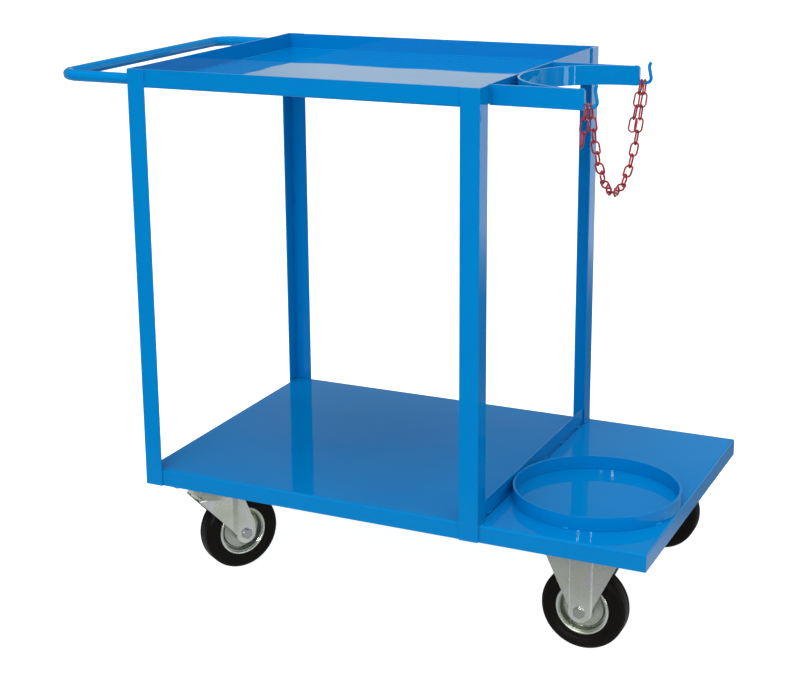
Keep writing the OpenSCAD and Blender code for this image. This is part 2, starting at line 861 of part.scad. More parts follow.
// Side outline of a fixed fork's leg, even about the axle
module fixed_outline() {
    half = fixed_w / 2;
    foot = press_w / 2 + 3;
    polygon([
        [-half, plate_z0 + eps], [half, plate_z0 + eps], [half, plate_z0 - 6],
        [foot, axle_z + 10], [foot_r, axle_z], [-foot_r, axle_z], [-foot, axle_z + 10],
        [-half, plate_z0 - 6]
    ]);
    translate([0, axle_z]) circle(foot_r);
}

// Plate and legs of a fixed castor, pressed from one sheet
module fixed_fork(side) {
    color(zinc)
        translate([fixed_x, side * castor_y, 0])
            difference() {
                union() {
                    translate([-plate_l / 2, -plate_w / 2, plate_z0])
                        cube([plate_l, plate_w, plate_t]);
                    fork_legs(0, -plate_l / 2, plate_l / 2, steep, plate_z0 + eps) fixed_outline();
                }
                axle_hole(0);
                for (p = hole_xy)
                    translate([p[0], p[1], plate_z0 - 1])
                        cylinder(d = bolt_d + 2 * hole_gap, h = plate_t + 2, $fn = 32);
            }
}

module on_fixed_axle(side) {
    translate([fixed_x, side * castor_y, axle_z]) children();
}

module front_right_fork() { fixed_fork(-1); }
module front_right_axle_bolt() { on_fixed_axle(-1) axle_bolt(-1); }
module front_right_axle_nut() { on_fixed_axle(-1) axle_nut(-1); }
module front_right_bush() { on_fixed_axle(-1) bush(); }
module front_right_rollers() { on_fixed_axle(-1) roller_set(); }
module front_right_rim() { on_fixed_axle(-1) rim(); }
module front_right_tyre() { on_fixed_axle(-1) tyre(); }

module rear_right_fork() { fixed_fork(1); }
module rear_right_axle_bolt() { on_fixed_axle(1) axle_bolt(1); }
module rear_right_axle_nut() { on_fixed_axle(1) axle_nut(1); }
module rear_right_bush() { on_fixed_axle(1) bush(); }
module rear_right_rollers() { on_fixed_axle(1) roller_set(); }
module rear_right_rim() { on_fixed_axle(1) rim(); }
module rear_right_tyre() { on_fixed_axle(1) tyre(); }

// ---- every piece in its place ----------------------------------------------

front_left_upright();
front_right_upright();
rear_left_upright();
rear_right_upright();
top_tray();
main_deck();
cylinder_platform();
stop_bar();
left_castor_channel();
right_castor_channel();
push_handle();
cylinder_ring();
retaining_hoop();
front_hoop_arm();
rear_hoop_arm();
front_chain_hook();
rear_chain_hook();
chain_strand();
front_chain_tail();
rear_chain_tail();
castor_bolts();
castor_nuts();
kingpin_nuts();
front_left_top_plate();
front_left_kingpin();
front_left_balls();
front_left_fork();
front_left_axle_bolt();
front_left_axle_nut();
front_left_bush();
front_left_rollers();
front_left_rim();
front_left_tyre();
rear_left_top_plate();
rear_left_kingpin();
rear_left_balls();
rear_left_fork();
rear_left_axle_bolt();
rear_left_axle_nut();
rear_left_bush();
rear_left_rollers();
rear_left_rim();
rear_left_tyre();
front_right_fork();
front_right_axle_bolt();
front_right_axle_nut();
front_right_bush();
front_right_rollers();
front_right_rim();
front_right_tyre();
rear_right_fork();
rear_right_axle_bolt();
rear_right_axle_nut();
rear_right_bush();
rear_right_rollers();
rear_right_rim();
rear_right_tyre();
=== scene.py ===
# %% [markdown]
# # A welded torch cart
# The cart is a blue angle-iron frame with a tray, a deck, a platform with a ring for one gas cylinder, a hoop with
# a hanging chain, and four rubber-tyred castors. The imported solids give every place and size. This lesson draws
# each visible piece again as a surface worked out with numpy, with the soft edges and weld beads of the real one,
# and gives each finish its own nodes.

# %% Load the frame
import json
import bmesh
import bpy
import numpy as np
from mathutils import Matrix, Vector

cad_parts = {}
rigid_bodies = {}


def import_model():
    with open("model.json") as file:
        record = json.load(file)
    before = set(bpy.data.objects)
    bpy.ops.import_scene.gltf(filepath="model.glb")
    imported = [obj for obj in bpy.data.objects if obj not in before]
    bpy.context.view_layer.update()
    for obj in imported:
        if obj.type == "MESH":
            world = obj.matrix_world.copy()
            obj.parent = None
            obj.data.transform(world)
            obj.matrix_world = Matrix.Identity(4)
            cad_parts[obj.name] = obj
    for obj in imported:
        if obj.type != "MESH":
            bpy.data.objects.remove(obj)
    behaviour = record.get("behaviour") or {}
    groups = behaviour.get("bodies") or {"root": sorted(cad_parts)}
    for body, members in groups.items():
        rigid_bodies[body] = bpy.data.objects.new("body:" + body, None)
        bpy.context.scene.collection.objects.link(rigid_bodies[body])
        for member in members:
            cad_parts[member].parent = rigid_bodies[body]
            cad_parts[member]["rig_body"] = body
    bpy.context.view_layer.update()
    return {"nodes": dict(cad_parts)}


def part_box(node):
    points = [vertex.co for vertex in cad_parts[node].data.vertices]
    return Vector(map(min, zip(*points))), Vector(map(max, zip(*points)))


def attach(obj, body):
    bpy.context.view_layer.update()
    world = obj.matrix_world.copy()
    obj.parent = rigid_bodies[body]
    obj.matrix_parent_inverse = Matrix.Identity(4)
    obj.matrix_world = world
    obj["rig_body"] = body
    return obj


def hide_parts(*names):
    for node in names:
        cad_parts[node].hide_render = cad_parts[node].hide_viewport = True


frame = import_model()

# %% [markdown]
# Lengths are easiest to read in millimetres, as on a workshop drawing, so every array below is in millimetres and
# only the function that fills a mesh divides by a thousand. The box of a solid says where the real piece is, so no
# place is typed twice.

# %% Boxes in millimetres
MM = 0.001


def box(node):
    """Lowest and highest corner of a solid, in millimetres, as a 2 by 3 array."""
    return np.array([list(corner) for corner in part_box(node)]) / MM


def middle(node):
    """Middle of a solid's box."""
    return box(node).mean(0)


(x_left, front_y, _), (_, _, frame_top) = box("front_left_upright")
x_right, deck_top = box("front_right_upright")[1, 0], box("main_deck")[1, 2]
print("frame from", round(x_left), "to", round(x_right), "mm, top at", round(frame_top))

# %% [markdown]
# The camera stands in front and to the right, a little above the tray, about three metres away, with a long lens,
# so the verticals stay almost parallel. A camera is turned by the angles of its three axes: tilt, roll and heading.

# %% Camera
scene = bpy.context.scene
camera = bpy.data.objects.new("camera", bpy.data.cameras.new("camera"))
scene.collection.objects.link(camera)
scene.camera = camera
camera.location = (1.250, -2.722, 1.342)
camera.rotation_euler = np.radians([90 - 14.92, 0.66, 25.78])
camera.data.lens = 74.2
camera.data.shift_x, camera.data.shift_y = 0.038, -0.08
print("camera at", list(camera.location))

# %% [markdown]
# The room, the floor and every finish are small node trees, so the helpers that build them come first: any node with
# its settings and wires, a ramp of greys, a straight map of ranges, a new material, and a switch by kind of ray that
# lets the paint mirror other things than those that the camera sees. What is the same all over a surface, such as a
# coat, is set on the Principled shader itself.

# %% Node helpers
def node(tree, kind, links=(), **settings):
    """A node with its settings; links pairs an input with an output socket to wire in or with a plain value."""
    made = tree.nodes.new("ShaderNode" + kind)
    for key, value in settings.items():
        setattr(made, key, value)
    for key, value in dict(links).items():
        if isinstance(value, bpy.types.NodeSocket):
            tree.links.new(value, made.inputs[key])
        else:
            made.inputs[key].default_value = value
    return made


def ramp(tree, value, stops):
    """A colour ramp of greys through (position, brightness) stops."""
    made = node(tree, "ValToRGB", {"Fac": value})
    band = made.color_ramp.elements
    for position, grey in stops:
        element = band[0] if position == 0 else band[-1] if position == 1 else band.new(position)
        element.color = (grey, grey, grey, 1)
    return made.outputs["Color"]


def stretch(tree, value, low, high, to_low, to_high):
    """A straight map of one range to another."""
    return node(tree, "MapRange", {"Value": value, "From Min": low, "From Max": high,
                                   "To Min": to_low, "To Max": to_high}).outputs[0]


def new_finish(name, **sockets):
    """A material whose Principled shader has these plain values, and its Object coordinates."""
    made = bpy.data.materials.new(name)
    made.use_nodes = True
    shader = made.node_tree.nodes["Principled BSDF"]
    for key, value in sockets.items():
        shader.inputs[key.replace("_", " ")].default_value = value
    return made, made.node_tree, shader, node(made.node_tree, "TexCoord").outputs["Object"]


def by_ray(tree, plain, glossy, camera):
    """One shader for the rays of mirror images, one for the camera's rays and a plain one for all others."""
    path = node(tree, "LightPath")
    both = node(tree, "MixShader", {0: path.outputs["Is Glossy Ray"], 1: plain, 2: glossy})
    return node(tree, "MixShader", {0: path.outputs["Is Camera Ray"], 1: both.outputs[0], 2: camera}).outputs[0]


print("node helpers ready")

# %% [markdown]
# A gloss finish shows its room. Here the camera sees plain white, and a pale dome lights the cart evenly, brighter
# from the front. What the paint mirrors is a third thing: a bright, slightly warm band low at the horizon, as from a
# lit wall, a dark room above it and a soft ceiling panel.

# %% White room
scene.view_settings.view_transform = "Standard"
scene.world = bpy.data.worlds.new("white_room")
scene.world.use_nodes = True
wt = scene.world.node_tree
wt.nodes.clear()
split = node(wt, "SeparateXYZ", {0: node(wt, "TexCoord").outputs["Generated"]})
wall_tones = [(0.0, 0.8), (0.15, 0.8), (0.29, 0.48), (0.36, 0.26), (0.42, 0.13), (0.7, 0.1), (0.86, 0.35), (1.0, 0.4)]
walls = node(wt, "Math", {0: ramp(wt, split.outputs["Z"], wall_tones),
                          1: stretch(wt, split.outputs["X"], -0.58, -0.46, 0.25, 1.0)}, operation="MULTIPLY")


def background(strength, tint=(1, 1, 1)):
    """A background with a plain strength, or with one that is wired in."""
    return node(wt, "Background", {"Color": (*tint, 1), "Strength": strength}).outputs[0]


dome = background(stretch(wt, split.outputs["Y"], -0.9, 0.6, 0.78, 0.35))
mirrored = background(walls.outputs[0], (1.0, 0.97, 0.74))
node(wt, "OutputWorld", {"Surface": by_ray(wt, dome, mirrored, background(1.05))})
print("room:", len(wt.nodes), "nodes")

# %% [markdown]
# Three large panels give an even, soft light and don't show in the gloss. Four strips do the opposite: they light
# nothing and show only as streaks in the gloss, two for the ring on the platform and two for the hoop.

# %% Lights
def soft_light(name, place, aim, width, height, watts):
    """An area light at a place, its front turned to the point aim."""
    lamp = bpy.data.lights.new(name, "AREA")
    lamp.shape, lamp.size, lamp.size_y, lamp.energy = "RECTANGLE", width, height, watts
    thing = bpy.data.objects.new(name, lamp)
    scene.collection.objects.link(thing)
    thing.location = place
    thing.rotation_euler = (thing.location - Vector(aim)).to_track_quat("Z", "Y").to_euler()
    thing.visible_camera = False
    return thing


for name, place, size, watts in (("top_panel", (0.3, -0.6, 7.0), 5.0, 215),
                                 ("front_panel", (0.1, -7.0, 3.8), 4.0, 180),
                                 ("side_panel", (3.6, -0.8, 2.0), 2.0, 15)):
    soft_light(name, place, (0, 0, 0.6), size, size, watts).visible_glossy = False

ring_front, hoop_back = (0.43, -0.25, 0.23), (0.43, 0.02, 0.95)
strips = []
for name, aim, heading, slope, far, width, height, watts in (
        ("narrow_strip", ring_front, -77.8, 23, 3.6, 0.07, 1.3, 60),
        ("wide_strip", ring_front, -95.5, 23, 3.6, 0.26, 1.3, 60),
        ("hoop_strip", hoop_back, -28.8, -6, 3.0, 0.1, 0.8, 2.2),
        ("hoop_glow", hoop_back, -16, -6, 3.0, 0.36, 0.8, 7)):
    heading, slope = np.radians(heading), np.radians(slope)
    away = np.array([np.cos(heading), np.sin(heading), np.tan(slope)])
    strips.append(soft_light(name, np.array(aim) + far * away, aim, width, height, watts))
    strips[-1].visible_diffuse = False
print("strips:", [strip.name for strip in strips])

# %% [markdown]
# The floor is a large pale sheet, flat under the cart, and to the camera it is nearly as white as the room. In the
# paint's reflections it glows with painted light and shade: pale near the cart, dark further out, bright again under
# the far wall.

# %% Floor
reach = 30.0
corners = [(-reach, -reach, 0), (reach, -reach, 0), (reach, reach, 0), (-reach, reach, 0)]
floor_mesh = bpy.data.meshes.new("floor")
floor_mesh.from_pydata(corners, [], [(0, 1, 2, 3)])
floor = bpy.data.objects.new("floor", floor_mesh)
scene.collection.objects.link(floor)
pale, pt, pale_shader, place = new_finish("pale_floor", Base_Color=(0.6, 0.6, 0.6, 1), Roughness=0.9,
                                          Specular_IOR_Level=0.0)
split = node(pt, "SeparateXYZ", {0: place})
# An emission that only mirror rays see: painted light and shade on the floor, set by distance along Y.
floor_glow_tones = [(0.0, 0.05), (0.42, 0.06), (0.436, 0.2), (0.46, 0.22), (0.475, 0.5), (0.515, 0.5), (0.535, 0.18),
               (0.565, 0.18), (0.6, 0.08), (0.65, 0.1), (0.69, 0.5), (0.72, 1.0), (1.0, 1.0)]
tone = ramp(pt, stretch(pt, split.outputs["Y"], -6.0, 6.0, 0.0, 1.0), floor_glow_tones)
brighter = node(pt, "Math", {0: tone, 1: 1.4}, operation="MULTIPLY")
floor_glow = node(pt, "Emission", {"Strength": brighter.outputs[0]}).outputs[0]
lit = node(pt, "AddShader", {0: pale_shader.outputs[0], 1: node(pt, "Emission", {"Strength": 0.9}).outputs[0]})
seen = by_ray(pt, pale_shader.outputs[0], floor_glow, lit.outputs[0])
pt.links.new(seen, pt.nodes["Material Output"].inputs["Surface"])
floor_mesh.materials.append(pale)
print("floor:", 2 * reach, "m square")

# %% [markdown]
# Finishes come first, because every piece needs one. Effects that more than one finish uses are node groups: they
# take a few numbers and give back a height, a mask or a colour that changes over the surface. A group is a small
# node tree with named sockets. All of them read Object coordinates, in metres, so the pattern has a real size and
# stays on its piece when the piece moves.

# %% Group helper
def new_group(name, inputs, outputs):
    """An empty shader group with named sockets; None as value makes a vector, a tuple a colour, a number a float."""
    tree = bpy.data.node_groups.new(name, "ShaderNodeTree")
    for label, value in inputs.items():
        kind = "Vector" if value is None else "Color" if isinstance(value, tuple) else "Float"
        socket = tree.interface.new_socket(label, in_out="INPUT", socket_type="NodeSocket" + kind)
        if value is not None:
            socket.default_value = value
    for label, kind in outputs.items():
        tree.interface.new_socket(label, in_out="OUTPUT", socket_type="NodeSocket" + kind)
    return tree, tree.nodes.new("NodeGroupInput"), tree.nodes.new("NodeGroupOutput")


print("group helper ready")

# %% [markdown]
# Sprayed enamel is never a perfect mirror. It levels into shallow waves, called orange peel, a few millimetres
# apart, over the longer waves of the sheet below. Two noises of different size, added together, give one height.

# %% Group: orange peel
def build_orange_peel():
    """Height = fine noise * Fine + long noise * Long, both over Object coordinates."""
    tree, gin, gout = new_group("orange_peel", {"Vector": None, "Size": 400.0, "Fine": 1.0, "Long": 1.0},
                                {"Height": "Float"})
    given = gin.outputs
    fine = node(tree, "TexNoise", {"Vector": given["Vector"], "Scale": given["Size"], "Detail": 1.0})
    long = node(tree, "TexNoise", {"Vector": given["Vector"], "Scale": 7.0, "Detail": 1.0})
    a = node(tree, "Math", {0: fine.outputs["Fac"], 1: given["Fine"]}, operation="MULTIPLY")
    b = node(tree, "Math", {0: long.outputs["Fac"], 1: given["Long"]}, operation="MULTIPLY")
    height = node(tree, "Math", {0: a.outputs[0], 1: b.outputs[0]}, operation="ADD")
    tree.links.new(height.outputs[0], gout.inputs["Height"])
    return tree


orange_peel = build_orange_peel()
print("group:", orange_peel.name)

# %% [markdown]
# Dust and handling leave a finish a little uneven. This group mixes two colours by a cloudy mask and gives the mask
# back as well, so that the same clouds can also change the roughness.

# %% Group: clouds
def build_clouds():
    """Mask = Amount * noise pushed through a smooth step from Low to High; Color = Base mixed towards Tint by Mask."""
    tree, gin, gout = new_group("clouds", {"Vector": None, "Size": 10.0, "Low": 0.4, "High": 0.7, "Amount": 0.5,
                                           "Base": (1, 1, 1, 1), "Tint": (0, 0, 0, 1)},
                                {"Color": "Color", "Mask": "Float"})
    given = gin.outputs
    noise = node(tree, "TexNoise", {"Vector": given["Vector"], "Scale": given["Size"], "Detail": 5.0, "Roughness": 0.6})
    step = node(tree, "MapRange", {"Value": noise.outputs["Fac"], "From Min": given["Low"], "From Max": given["High"]},
                interpolation_type="SMOOTHSTEP")
    share = node(tree, "Math", {0: step.outputs[0], 1: given["Amount"]}, operation="MULTIPLY")
    mix = node(tree, "Mix", {0: share.outputs[0], 6: given["Base"], 7: given["Tint"]}, data_type="RGBA")
    tree.links.new(mix.outputs[2], gout.inputs["Color"])
    tree.links.new(share.outputs[0], gout.inputs["Mask"])
    return tree


clouds = build_clouds()
print("group:", clouds.name)

# %% [markdown]
# These helpers place the groups in a material and wire them up. The last one makes a whole finish of the simplest
# kind: one colour that clouds towards a second and grows duller there, over a fine grain.

# %% Material helpers
def cloudy(tree, place, size, low, high, amount, **colours):
    """The clouds group in a material, with its own sizes and, where they count, its colours Base and Tint."""
    wired = {key: (*colour, 1) if isinstance(colour, tuple) else colour for key, colour in colours.items()}
    return node(tree, "Group", {"Vector": place, "Size": size, "Low": low, "High": high, "Amount": amount, **wired},
                node_tree=clouds).outputs


def rough(tree, shader, mask, low, high):
    """Roughness that goes from low to high as the mask goes from 0 to 1."""
    tree.links.new(stretch(tree, mask, 0.0, 1.0, low, high), shader.inputs["Roughness"])


def grainy(tree, shader, place, size, fine, long=0.0, distance=0.001):
    """The orange peel group as a bump, its height in metres times distance."""
    peel = node(tree, "Group", {"Vector": place, "Size": size, "Fine": fine, "Long": long}, node_tree=orange_peel)
    made = node(tree, "Bump", {"Height": peel.outputs["Height"], "Distance": distance, "Strength": 1.0})
    tree.links.new(made.outputs[0], shader.inputs["Normal"])


def patchy(name, spread, base, tint, dull, grain=(), **sockets):
    """A finish of base with clouds of tint. spread is the clouds' size, low, high and amount, dull the roughness
    outside and inside them, grain the size and height of a fine bump."""
    made, tree, shader, place = new_finish(name, **sockets)
    patches = cloudy(tree, place, *spread, Base=base, Tint=tint)
    tree.links.new(patches["Color"], shader.inputs["Base Color"])
    rough(tree, shader, patches["Mask"], *dull)
    if grain:
        grainy(tree, shader, place, *grain)
    return made


print("material helpers ready")

# %% [markdown]
# Blue enamel: a strong blue under a clear gloss. The coat gives the sharp reflection and the base below is a bit
# rougher. Clouds darken it very slightly, and orange peel breaks up the reflection.

# %% Finish: blue enamel
def blue_enamel():
    """Blue with faint darker clouds, a near mirror with faint smears, and shallow orange peel."""
    made, tree, shader, place = new_finish("blue_enamel", Roughness=0.08, IOR=1.28)
    tone = cloudy(tree, place, 6.0, 0.35, 0.75, 0.35, Base=(0.0, 0.224, 0.590), Tint=(0.0, 0.198, 0.545))
    tree.links.new(tone["Color"], shader.inputs["Base Color"])
    rough(tree, shader, cloudy(tree, place, 14.0, 0.45, 0.8, 1.0)["Mask"], 0.02, 0.06)
    grainy(tree, shader, place, 420.0, 0.008, long=1.0, distance=0.0006)
    return made


BLUE = blue_enamel()
print("finish:", BLUE.name)

# %% [markdown]
# Zinc plate looks like soft silver with faint yellow, green and violet stains from the passivation bath. Two cloud
# layers tint it, and a fine grain roughens it. A second copy, darker all over, is painted shade for the rim discs and
# the axle bolts.

# %% Finish: zinc plate
def zinc_plate(name, shade):
    """Grey with warm and cool clouds and a fine grain; all its colours times shade, so below 1 it is painted shade."""
    made, tree, shader, place = new_finish(name, Metallic=0.8, Roughness=0.36)
    grey, warm, cool = (tuple(shade * part for part in colour) for colour in
                        ((0.67, 0.71, 0.67), (0.54, 0.58, 0.44), (0.60, 0.60, 0.70)))
    first = cloudy(tree, place, 13.0, 0.38, 0.66, 0.8, Base=grey, Tint=warm)
    second = cloudy(tree, place, 21.0, 0.48, 0.70, 0.6, Base=first["Color"], Tint=cool)
    tree.links.new(second["Color"], shader.inputs["Base Color"])
    rough(tree, shader, first["Mask"], 0.22, 0.34)
    grainy(tree, shader, place, 700.0, 0.012)
    return made


# The copy at 0.62 is the same zinc made darker: painted shade for the rim discs and the axle bolts.
ZINC, SHADED_ZINC = zinc_plate("zinc_plate", 1.0), zinc_plate("shaded_zinc", 0.62)
print("finishes:", ZINC.name, SHADED_ZINC.name)

# %% [markdown]
# Turned and ground steel, as on pins, balls and rollers, is brighter and smoother than plate, with a film of oil.

# %% Finish: bright steel
STEEL = patchy("bright_steel", (60.0, 0.4, 0.7, 0.7), (0.68, 0.69, 0.70), (0.50, 0.48, 0.44), (0.18, 0.36),
               Metallic=1.0, Roughness=0.25)
print("finish:", STEEL.name)

# %% [markdown]
# The chain is dipped in red paint, which is thicker and softer than enamel, with clouds of a darker red spread at
# random.

# %% Finish: red chain paint
RED = patchy("red_paint", (90.0, 0.4, 0.65, 0.8), (0.46, 0.012, 0.028), (0.17, 0.004, 0.012), (0.28, 0.45),
             (500.0, 0.2), Roughness=0.35, Coat_Weight=0.4, Coat_Roughness=0.12)
print("finish:", RED.name)

# %% [markdown]
# Black rubber keeps a satin skin from the mould, with a trace of grey dust that clings to it.

# %% Finish: black rubber
RUBBER = patchy("black_rubber", (45.0, 0.45, 0.8, 0.4), (0.003, 0.0025, 0.0016), (0.012, 0.010, 0.0075),
                (0.42, 0.62), (1200.0, 0.12), Roughness=0.5, Specular_IOR_Level=0.1)
SLOTS = {"blue_paint": BLUE, "zinc_steel": ZINC, "bright_steel": STEEL, "red_chain": RED, "black_rubber": RUBBER}
print("finish:", RUBBER.name)

# %% [markdown]
# One function turns arrays into a piece. It merges points that fall together, marks the sharp creases, adds a small
# bevel where the piece has cut edges, and weights the normals by area so that flats stay flat beside round corners.
# Then the piece takes its finish, rides on its body and stands for its solids.


def put(name, verts, faces, body, slot, replaces=(), bevel=0.0, sharp=40, solidify=0.0):
    """Mesh from points in millimetres and faces; bevel and solidify are in millimetres, sharp in degrees."""
    mesh = bpy.data.meshes.new(name)
    mesh.from_pydata((np.asarray(verts, float) * MM).tolist(), [], [list(map(int, f)) for f in faces])
    bm = bmesh.new()
    bm.from_mesh(mesh)
    bmesh.ops.remove_doubles(bm, verts=bm.verts, dist=2e-6)
    bmesh.ops.dissolve_degenerate(bm, edges=bm.edges, dist=1e-6)
    bm.to_mesh(mesh)
    bm.free()
    mesh.shade_smooth()
    made = bpy.data.objects.new(name, mesh)
    scene.collection.objects.link(made)
    mesh.materials.append(SLOTS[slot])
    if solidify:
        wall = made.modifiers.new("wall", "SOLIDIFY")
        wall.thickness, wall.offset, wall.use_even_offset = solidify * MM, -1, True
    if bevel:
        edge = made.modifiers.new("soft_edge", "BEVEL")
        edge.width, edge.segments = bevel * MM, 2
        edge.limit_method, edge.angle_limit = "ANGLE", np.radians(sharp)
    else:
        mesh.set_sharp_from_angle(angle=np.radians(sharp))
    level = made.modifiers.new("flat_flats", "WEIGHTED_NORMAL")
    level.keep_sharp = True
    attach(made, body)
    if replaces:
        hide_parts(*replaces)
    return made


def painted(name, shape, *solids, **edges):
    """A blue piece of the cart's own body; shape is (points, faces)."""
    return put(name, *shape, "cart", "blue_paint", solids, **edges)


def grid_faces(rows, cols, wrap_rows=False, wrap_cols=True):
    """Quads between neighbours of a rows by cols grid, as an array of four indices."""
    i = np.arange(rows if wrap_rows else rows - 1)[:, None]
    j = np.arange(cols if wrap_cols else cols - 1)[None, :]
    i2, j2 = (i + 1) % rows, (j + 1) % cols
    return np.stack([i * cols + j, i * cols + j2, i2 * cols + j2, i2 * cols + j], -1).reshape(-1, 4)


def end_caps(rows, cols):
    """The first ring of a grid, turned round, and the last, each as one face."""
    return [list(range(cols))[::-1], list(range((rows - 1) * cols, rows * cols))]


def unit(v):
    """Vectors scaled to length 1."""
    return v / np.linalg.norm(v, axis=1)[:, None]


def joined(*parts):
    """Several (points, faces) as one, with the faces' numbers moved up."""
    verts, faces, base = [], [], 0
    for v, f in parts:
        v = np.asarray(v, float).reshape(-1, 3)
        faces += [[int(k) + base for k in face] for face in f]
        verts.append(v)
        base += len(v)
    return np.concatenate(verts), faces


print("mesh helpers ready")

# %% [markdown]
# Almost every piece of the cart is a section with rounded corners, carried along something. An outline is given by
# its corners and a radius for each.

# %% Rounded outlines
def rounded(corners, radii, steps=4):
    """A closed outline whose corners are arcs.
    At a corner the side turns by an angle t, so an arc of radius r starts r * tan(t / 2) before it. The arc's points
    are the start turned about the arc's centre by equal parts of t. All corners are worked out at once."""
    p = np.asarray(corners, float)
    r = np.broadcast_to(np.asarray(radii, float), len(p))[:, None]
    a, b = unit(p - np.roll(p, 1, 0)), unit(np.roll(p, -1, 0) - p)
    turn = np.arctan2(a[:, 0] * b[:, 1] - a[:, 1] * b[:, 0], (a * b).sum(1))[:, None]
    start = p - a * r * np.tan(np.abs(turn) / 2)
    side = np.sign(turn) * np.c_[-a[:, 1], a[:, 0]]
    phi = turn * np.linspace(0, 1, steps + 1)
    back = -side * r
    x = back[:, :1] * np.cos(phi) - back[:, 1:] * np.sin(phi)
    y = back[:, :1] * np.sin(phi) + back[:, 1:] * np.cos(phi)
    return ((start + side * r)[:, None] + np.stack([x, y], -1)).reshape(-1, 2)


def sweep(section, places, across, up, closed=False, size=1.0):
    """A closed section, or one for each place, carried along places: point = place + size * (section x * across +
    section y * up), where across x up is the direction of travel. Flat caps close the two ends."""
    places, across, up = (np.asarray(v, float) for v in (places, across, up))
    size = np.broadcast_to(size, len(places))[:, None]
    across, up = np.broadcast_to(across, places.shape) * size, np.broadcast_to(up, places.shape) * size
    s = np.asarray(section, float)
    s = s if s.ndim == 3 else s[None]
    verts = places[:, None] + s[..., :1] * across[:, None] + s[..., 1:] * up[:, None]
    m, n = verts.shape[:2]
    faces = grid_faces(m, n, wrap_rows=closed).tolist()
    return verts.reshape(-1, 3), faces if closed else faces + end_caps(m, n)


def rectangle(x0, x1, y0, y1):
    """Corners of a rectangle, counter-clockwise."""
    return np.array([[x0, y0], [x1, y0], [x1, y1], [x0, y1]], float)


def circle(r, n=16):
    """Points of a circle, counter-clockwise."""
    a = np.arange(n) * 2 * np.pi / n
    return np.c_[r * np.cos(a), r * np.sin(a)]


print("a rounded square has", len(rounded(rectangle(0, 1, 0, 1), 0.1)), "points")

# %% [markdown]
# ## The frame
# Angle iron is hot rolled: the heel is nearly sharp, the toes are round inside and a fillet fills the root. Its
# section is an L, carried straight up. The sides of the L are mirrored by signs, and the order of the corners is
# turned round where the mirror would turn the faces inwards.

# %% Four uprights
angle_w, angle_t = 35.0, 3.0


def upright(end, side):
    """An L with its heel at the frame's corner, carried from the deck's underside to the tray's top."""
    sx, sy = (1 if end == "left" else -1), (1 if side == "front" else -1)
    lo, hi = box(f"{side}_{end}_upright")
    heel = np.array([lo[0] if sx > 0 else hi[0], lo[1] if sy > 0 else hi[1]])
    ell = [[0, 0], [angle_w, 0], [angle_w, angle_t], [angle_t, angle_t], [angle_t, angle_w], [0, angle_w]]
    points = rounded(ell, [0.9, 0.3, 2.0, 1.2, 2.0, 0.3]) * (sx, sy)
    points = (points if sx * sy > 0 else points[::-1]) + heel
    shape = sweep(points, [(0, 0, lo[2]), (0, 0, hi[2])], (1, 0, 0), (0, 1, 0))
    return painted(f"{side}_{end}_angle", shape, f"{side}_{end}_upright", bevel=0.2)


for end in ("left", "right"):
    for side in ("front", "rear"):
        upright(end, side)

# %% [markdown]
# ## Folded sheet
# The tray, the deck and the platform are each one sheet with its four edges folded. Seen from above, every height of
# such a pan is the same outline moved inwards by some amount, so the piece is a profile of (inset, height) pairs
# carried round the outline. Folding leaves a round bend outside and a smaller one inside, and the corners are welded
# and ground to a small radius.

# %% Folded pans
sheet_t, fold_r, corner_r, lip = 2.5, 1.5, 1.6, 0.5


def pan(corners, z, height):
    """A folded sheet: its floor's outside is at z, its rims rise by height, or go down where that is negative.
    Ring k is the outline with each corner moved inwards by inset k along its mitre, at height k. The profile is the
    section of one rim; its two points out in the floor only give the folds their direction and are cut off."""
    p = np.asarray(corners, float)
    a, b = unit(p - np.roll(p, 1, 0)), unit(np.roll(p, -1, 0) - p)
    n1, n2 = np.c_[-a[:, 1], a[:, 0]], np.c_[-b[:, 1], b[:, 0]]
    mitre = (n1 + n2) / (1 + (n1 * n2).sum(1))[:, None]
    up, t, far = np.sign(height), sheet_t, 20.0
    fold = [[far, t], [t, t], [t, abs(height)], [0, abs(height)], [0, 0], [far, 0]]
    profile = rounded(fold, [0, fold_r, lip, lip, fold_r + t, 0], 5)[6:-6]
    rings = [rounded(p + d * mitre, max(corner_r - d, 0.4)) for d in profile[:, 0]]
    n = len(rings[0])
    heights = z + up * profile[:, 1]
    verts = np.concatenate([np.c_[ring, np.full(n, h)] for ring, h in zip(rings, heights)])
    faces = grid_faces(len(rings), n).tolist() + end_caps(len(rings), n)
    return verts, [face[::-1] for face in faces] if up > 0 else faces


lo, hi = box("top_tray")
painted("tray", pan(rectangle(lo[0], hi[0], lo[1], hi[1]), lo[2], hi[2] - lo[2]), "top_tray")
lo, hi = box("main_deck")
painted("deck", pan(rectangle(lo[0], hi[0], lo[1], hi[1]), hi[2], lo[2] - hi[2]), "main_deck")
lo, hi = box("cylinder_platform")
notch_x, notch_y = x_right + 0.3, box("front_right_upright")[1, 1] + 0.3
plate_outline = [[lo[0], notch_y], [notch_x, notch_y], [notch_x, lo[1]], [hi[0], lo[1]],
                 [hi[0], hi[1]], [notch_x, hi[1]], [notch_x, -notch_y], [lo[0], -notch_y]]
painted("platform", pan(plate_outline, hi[2], lo[2] - hi[2]), "cylinder_platform")

# %% [markdown]
# The stop bar and the two channels that carry the castors are plain rolled sections, carried across the cart.

# %% Stop bar and channels
def across(node_name, name, corners, radii):
    """A section in the XZ plane carried from the front end to the rear end of a solid."""
    lo, hi = box(node_name)
    shape = sweep(rounded(corners, radii)[::-1], [(0, lo[1], 0), (0, hi[1], 0)], (1, 0, 0), (0, 0, 1))
    return painted(name, shape, node_name, bevel=0.3)


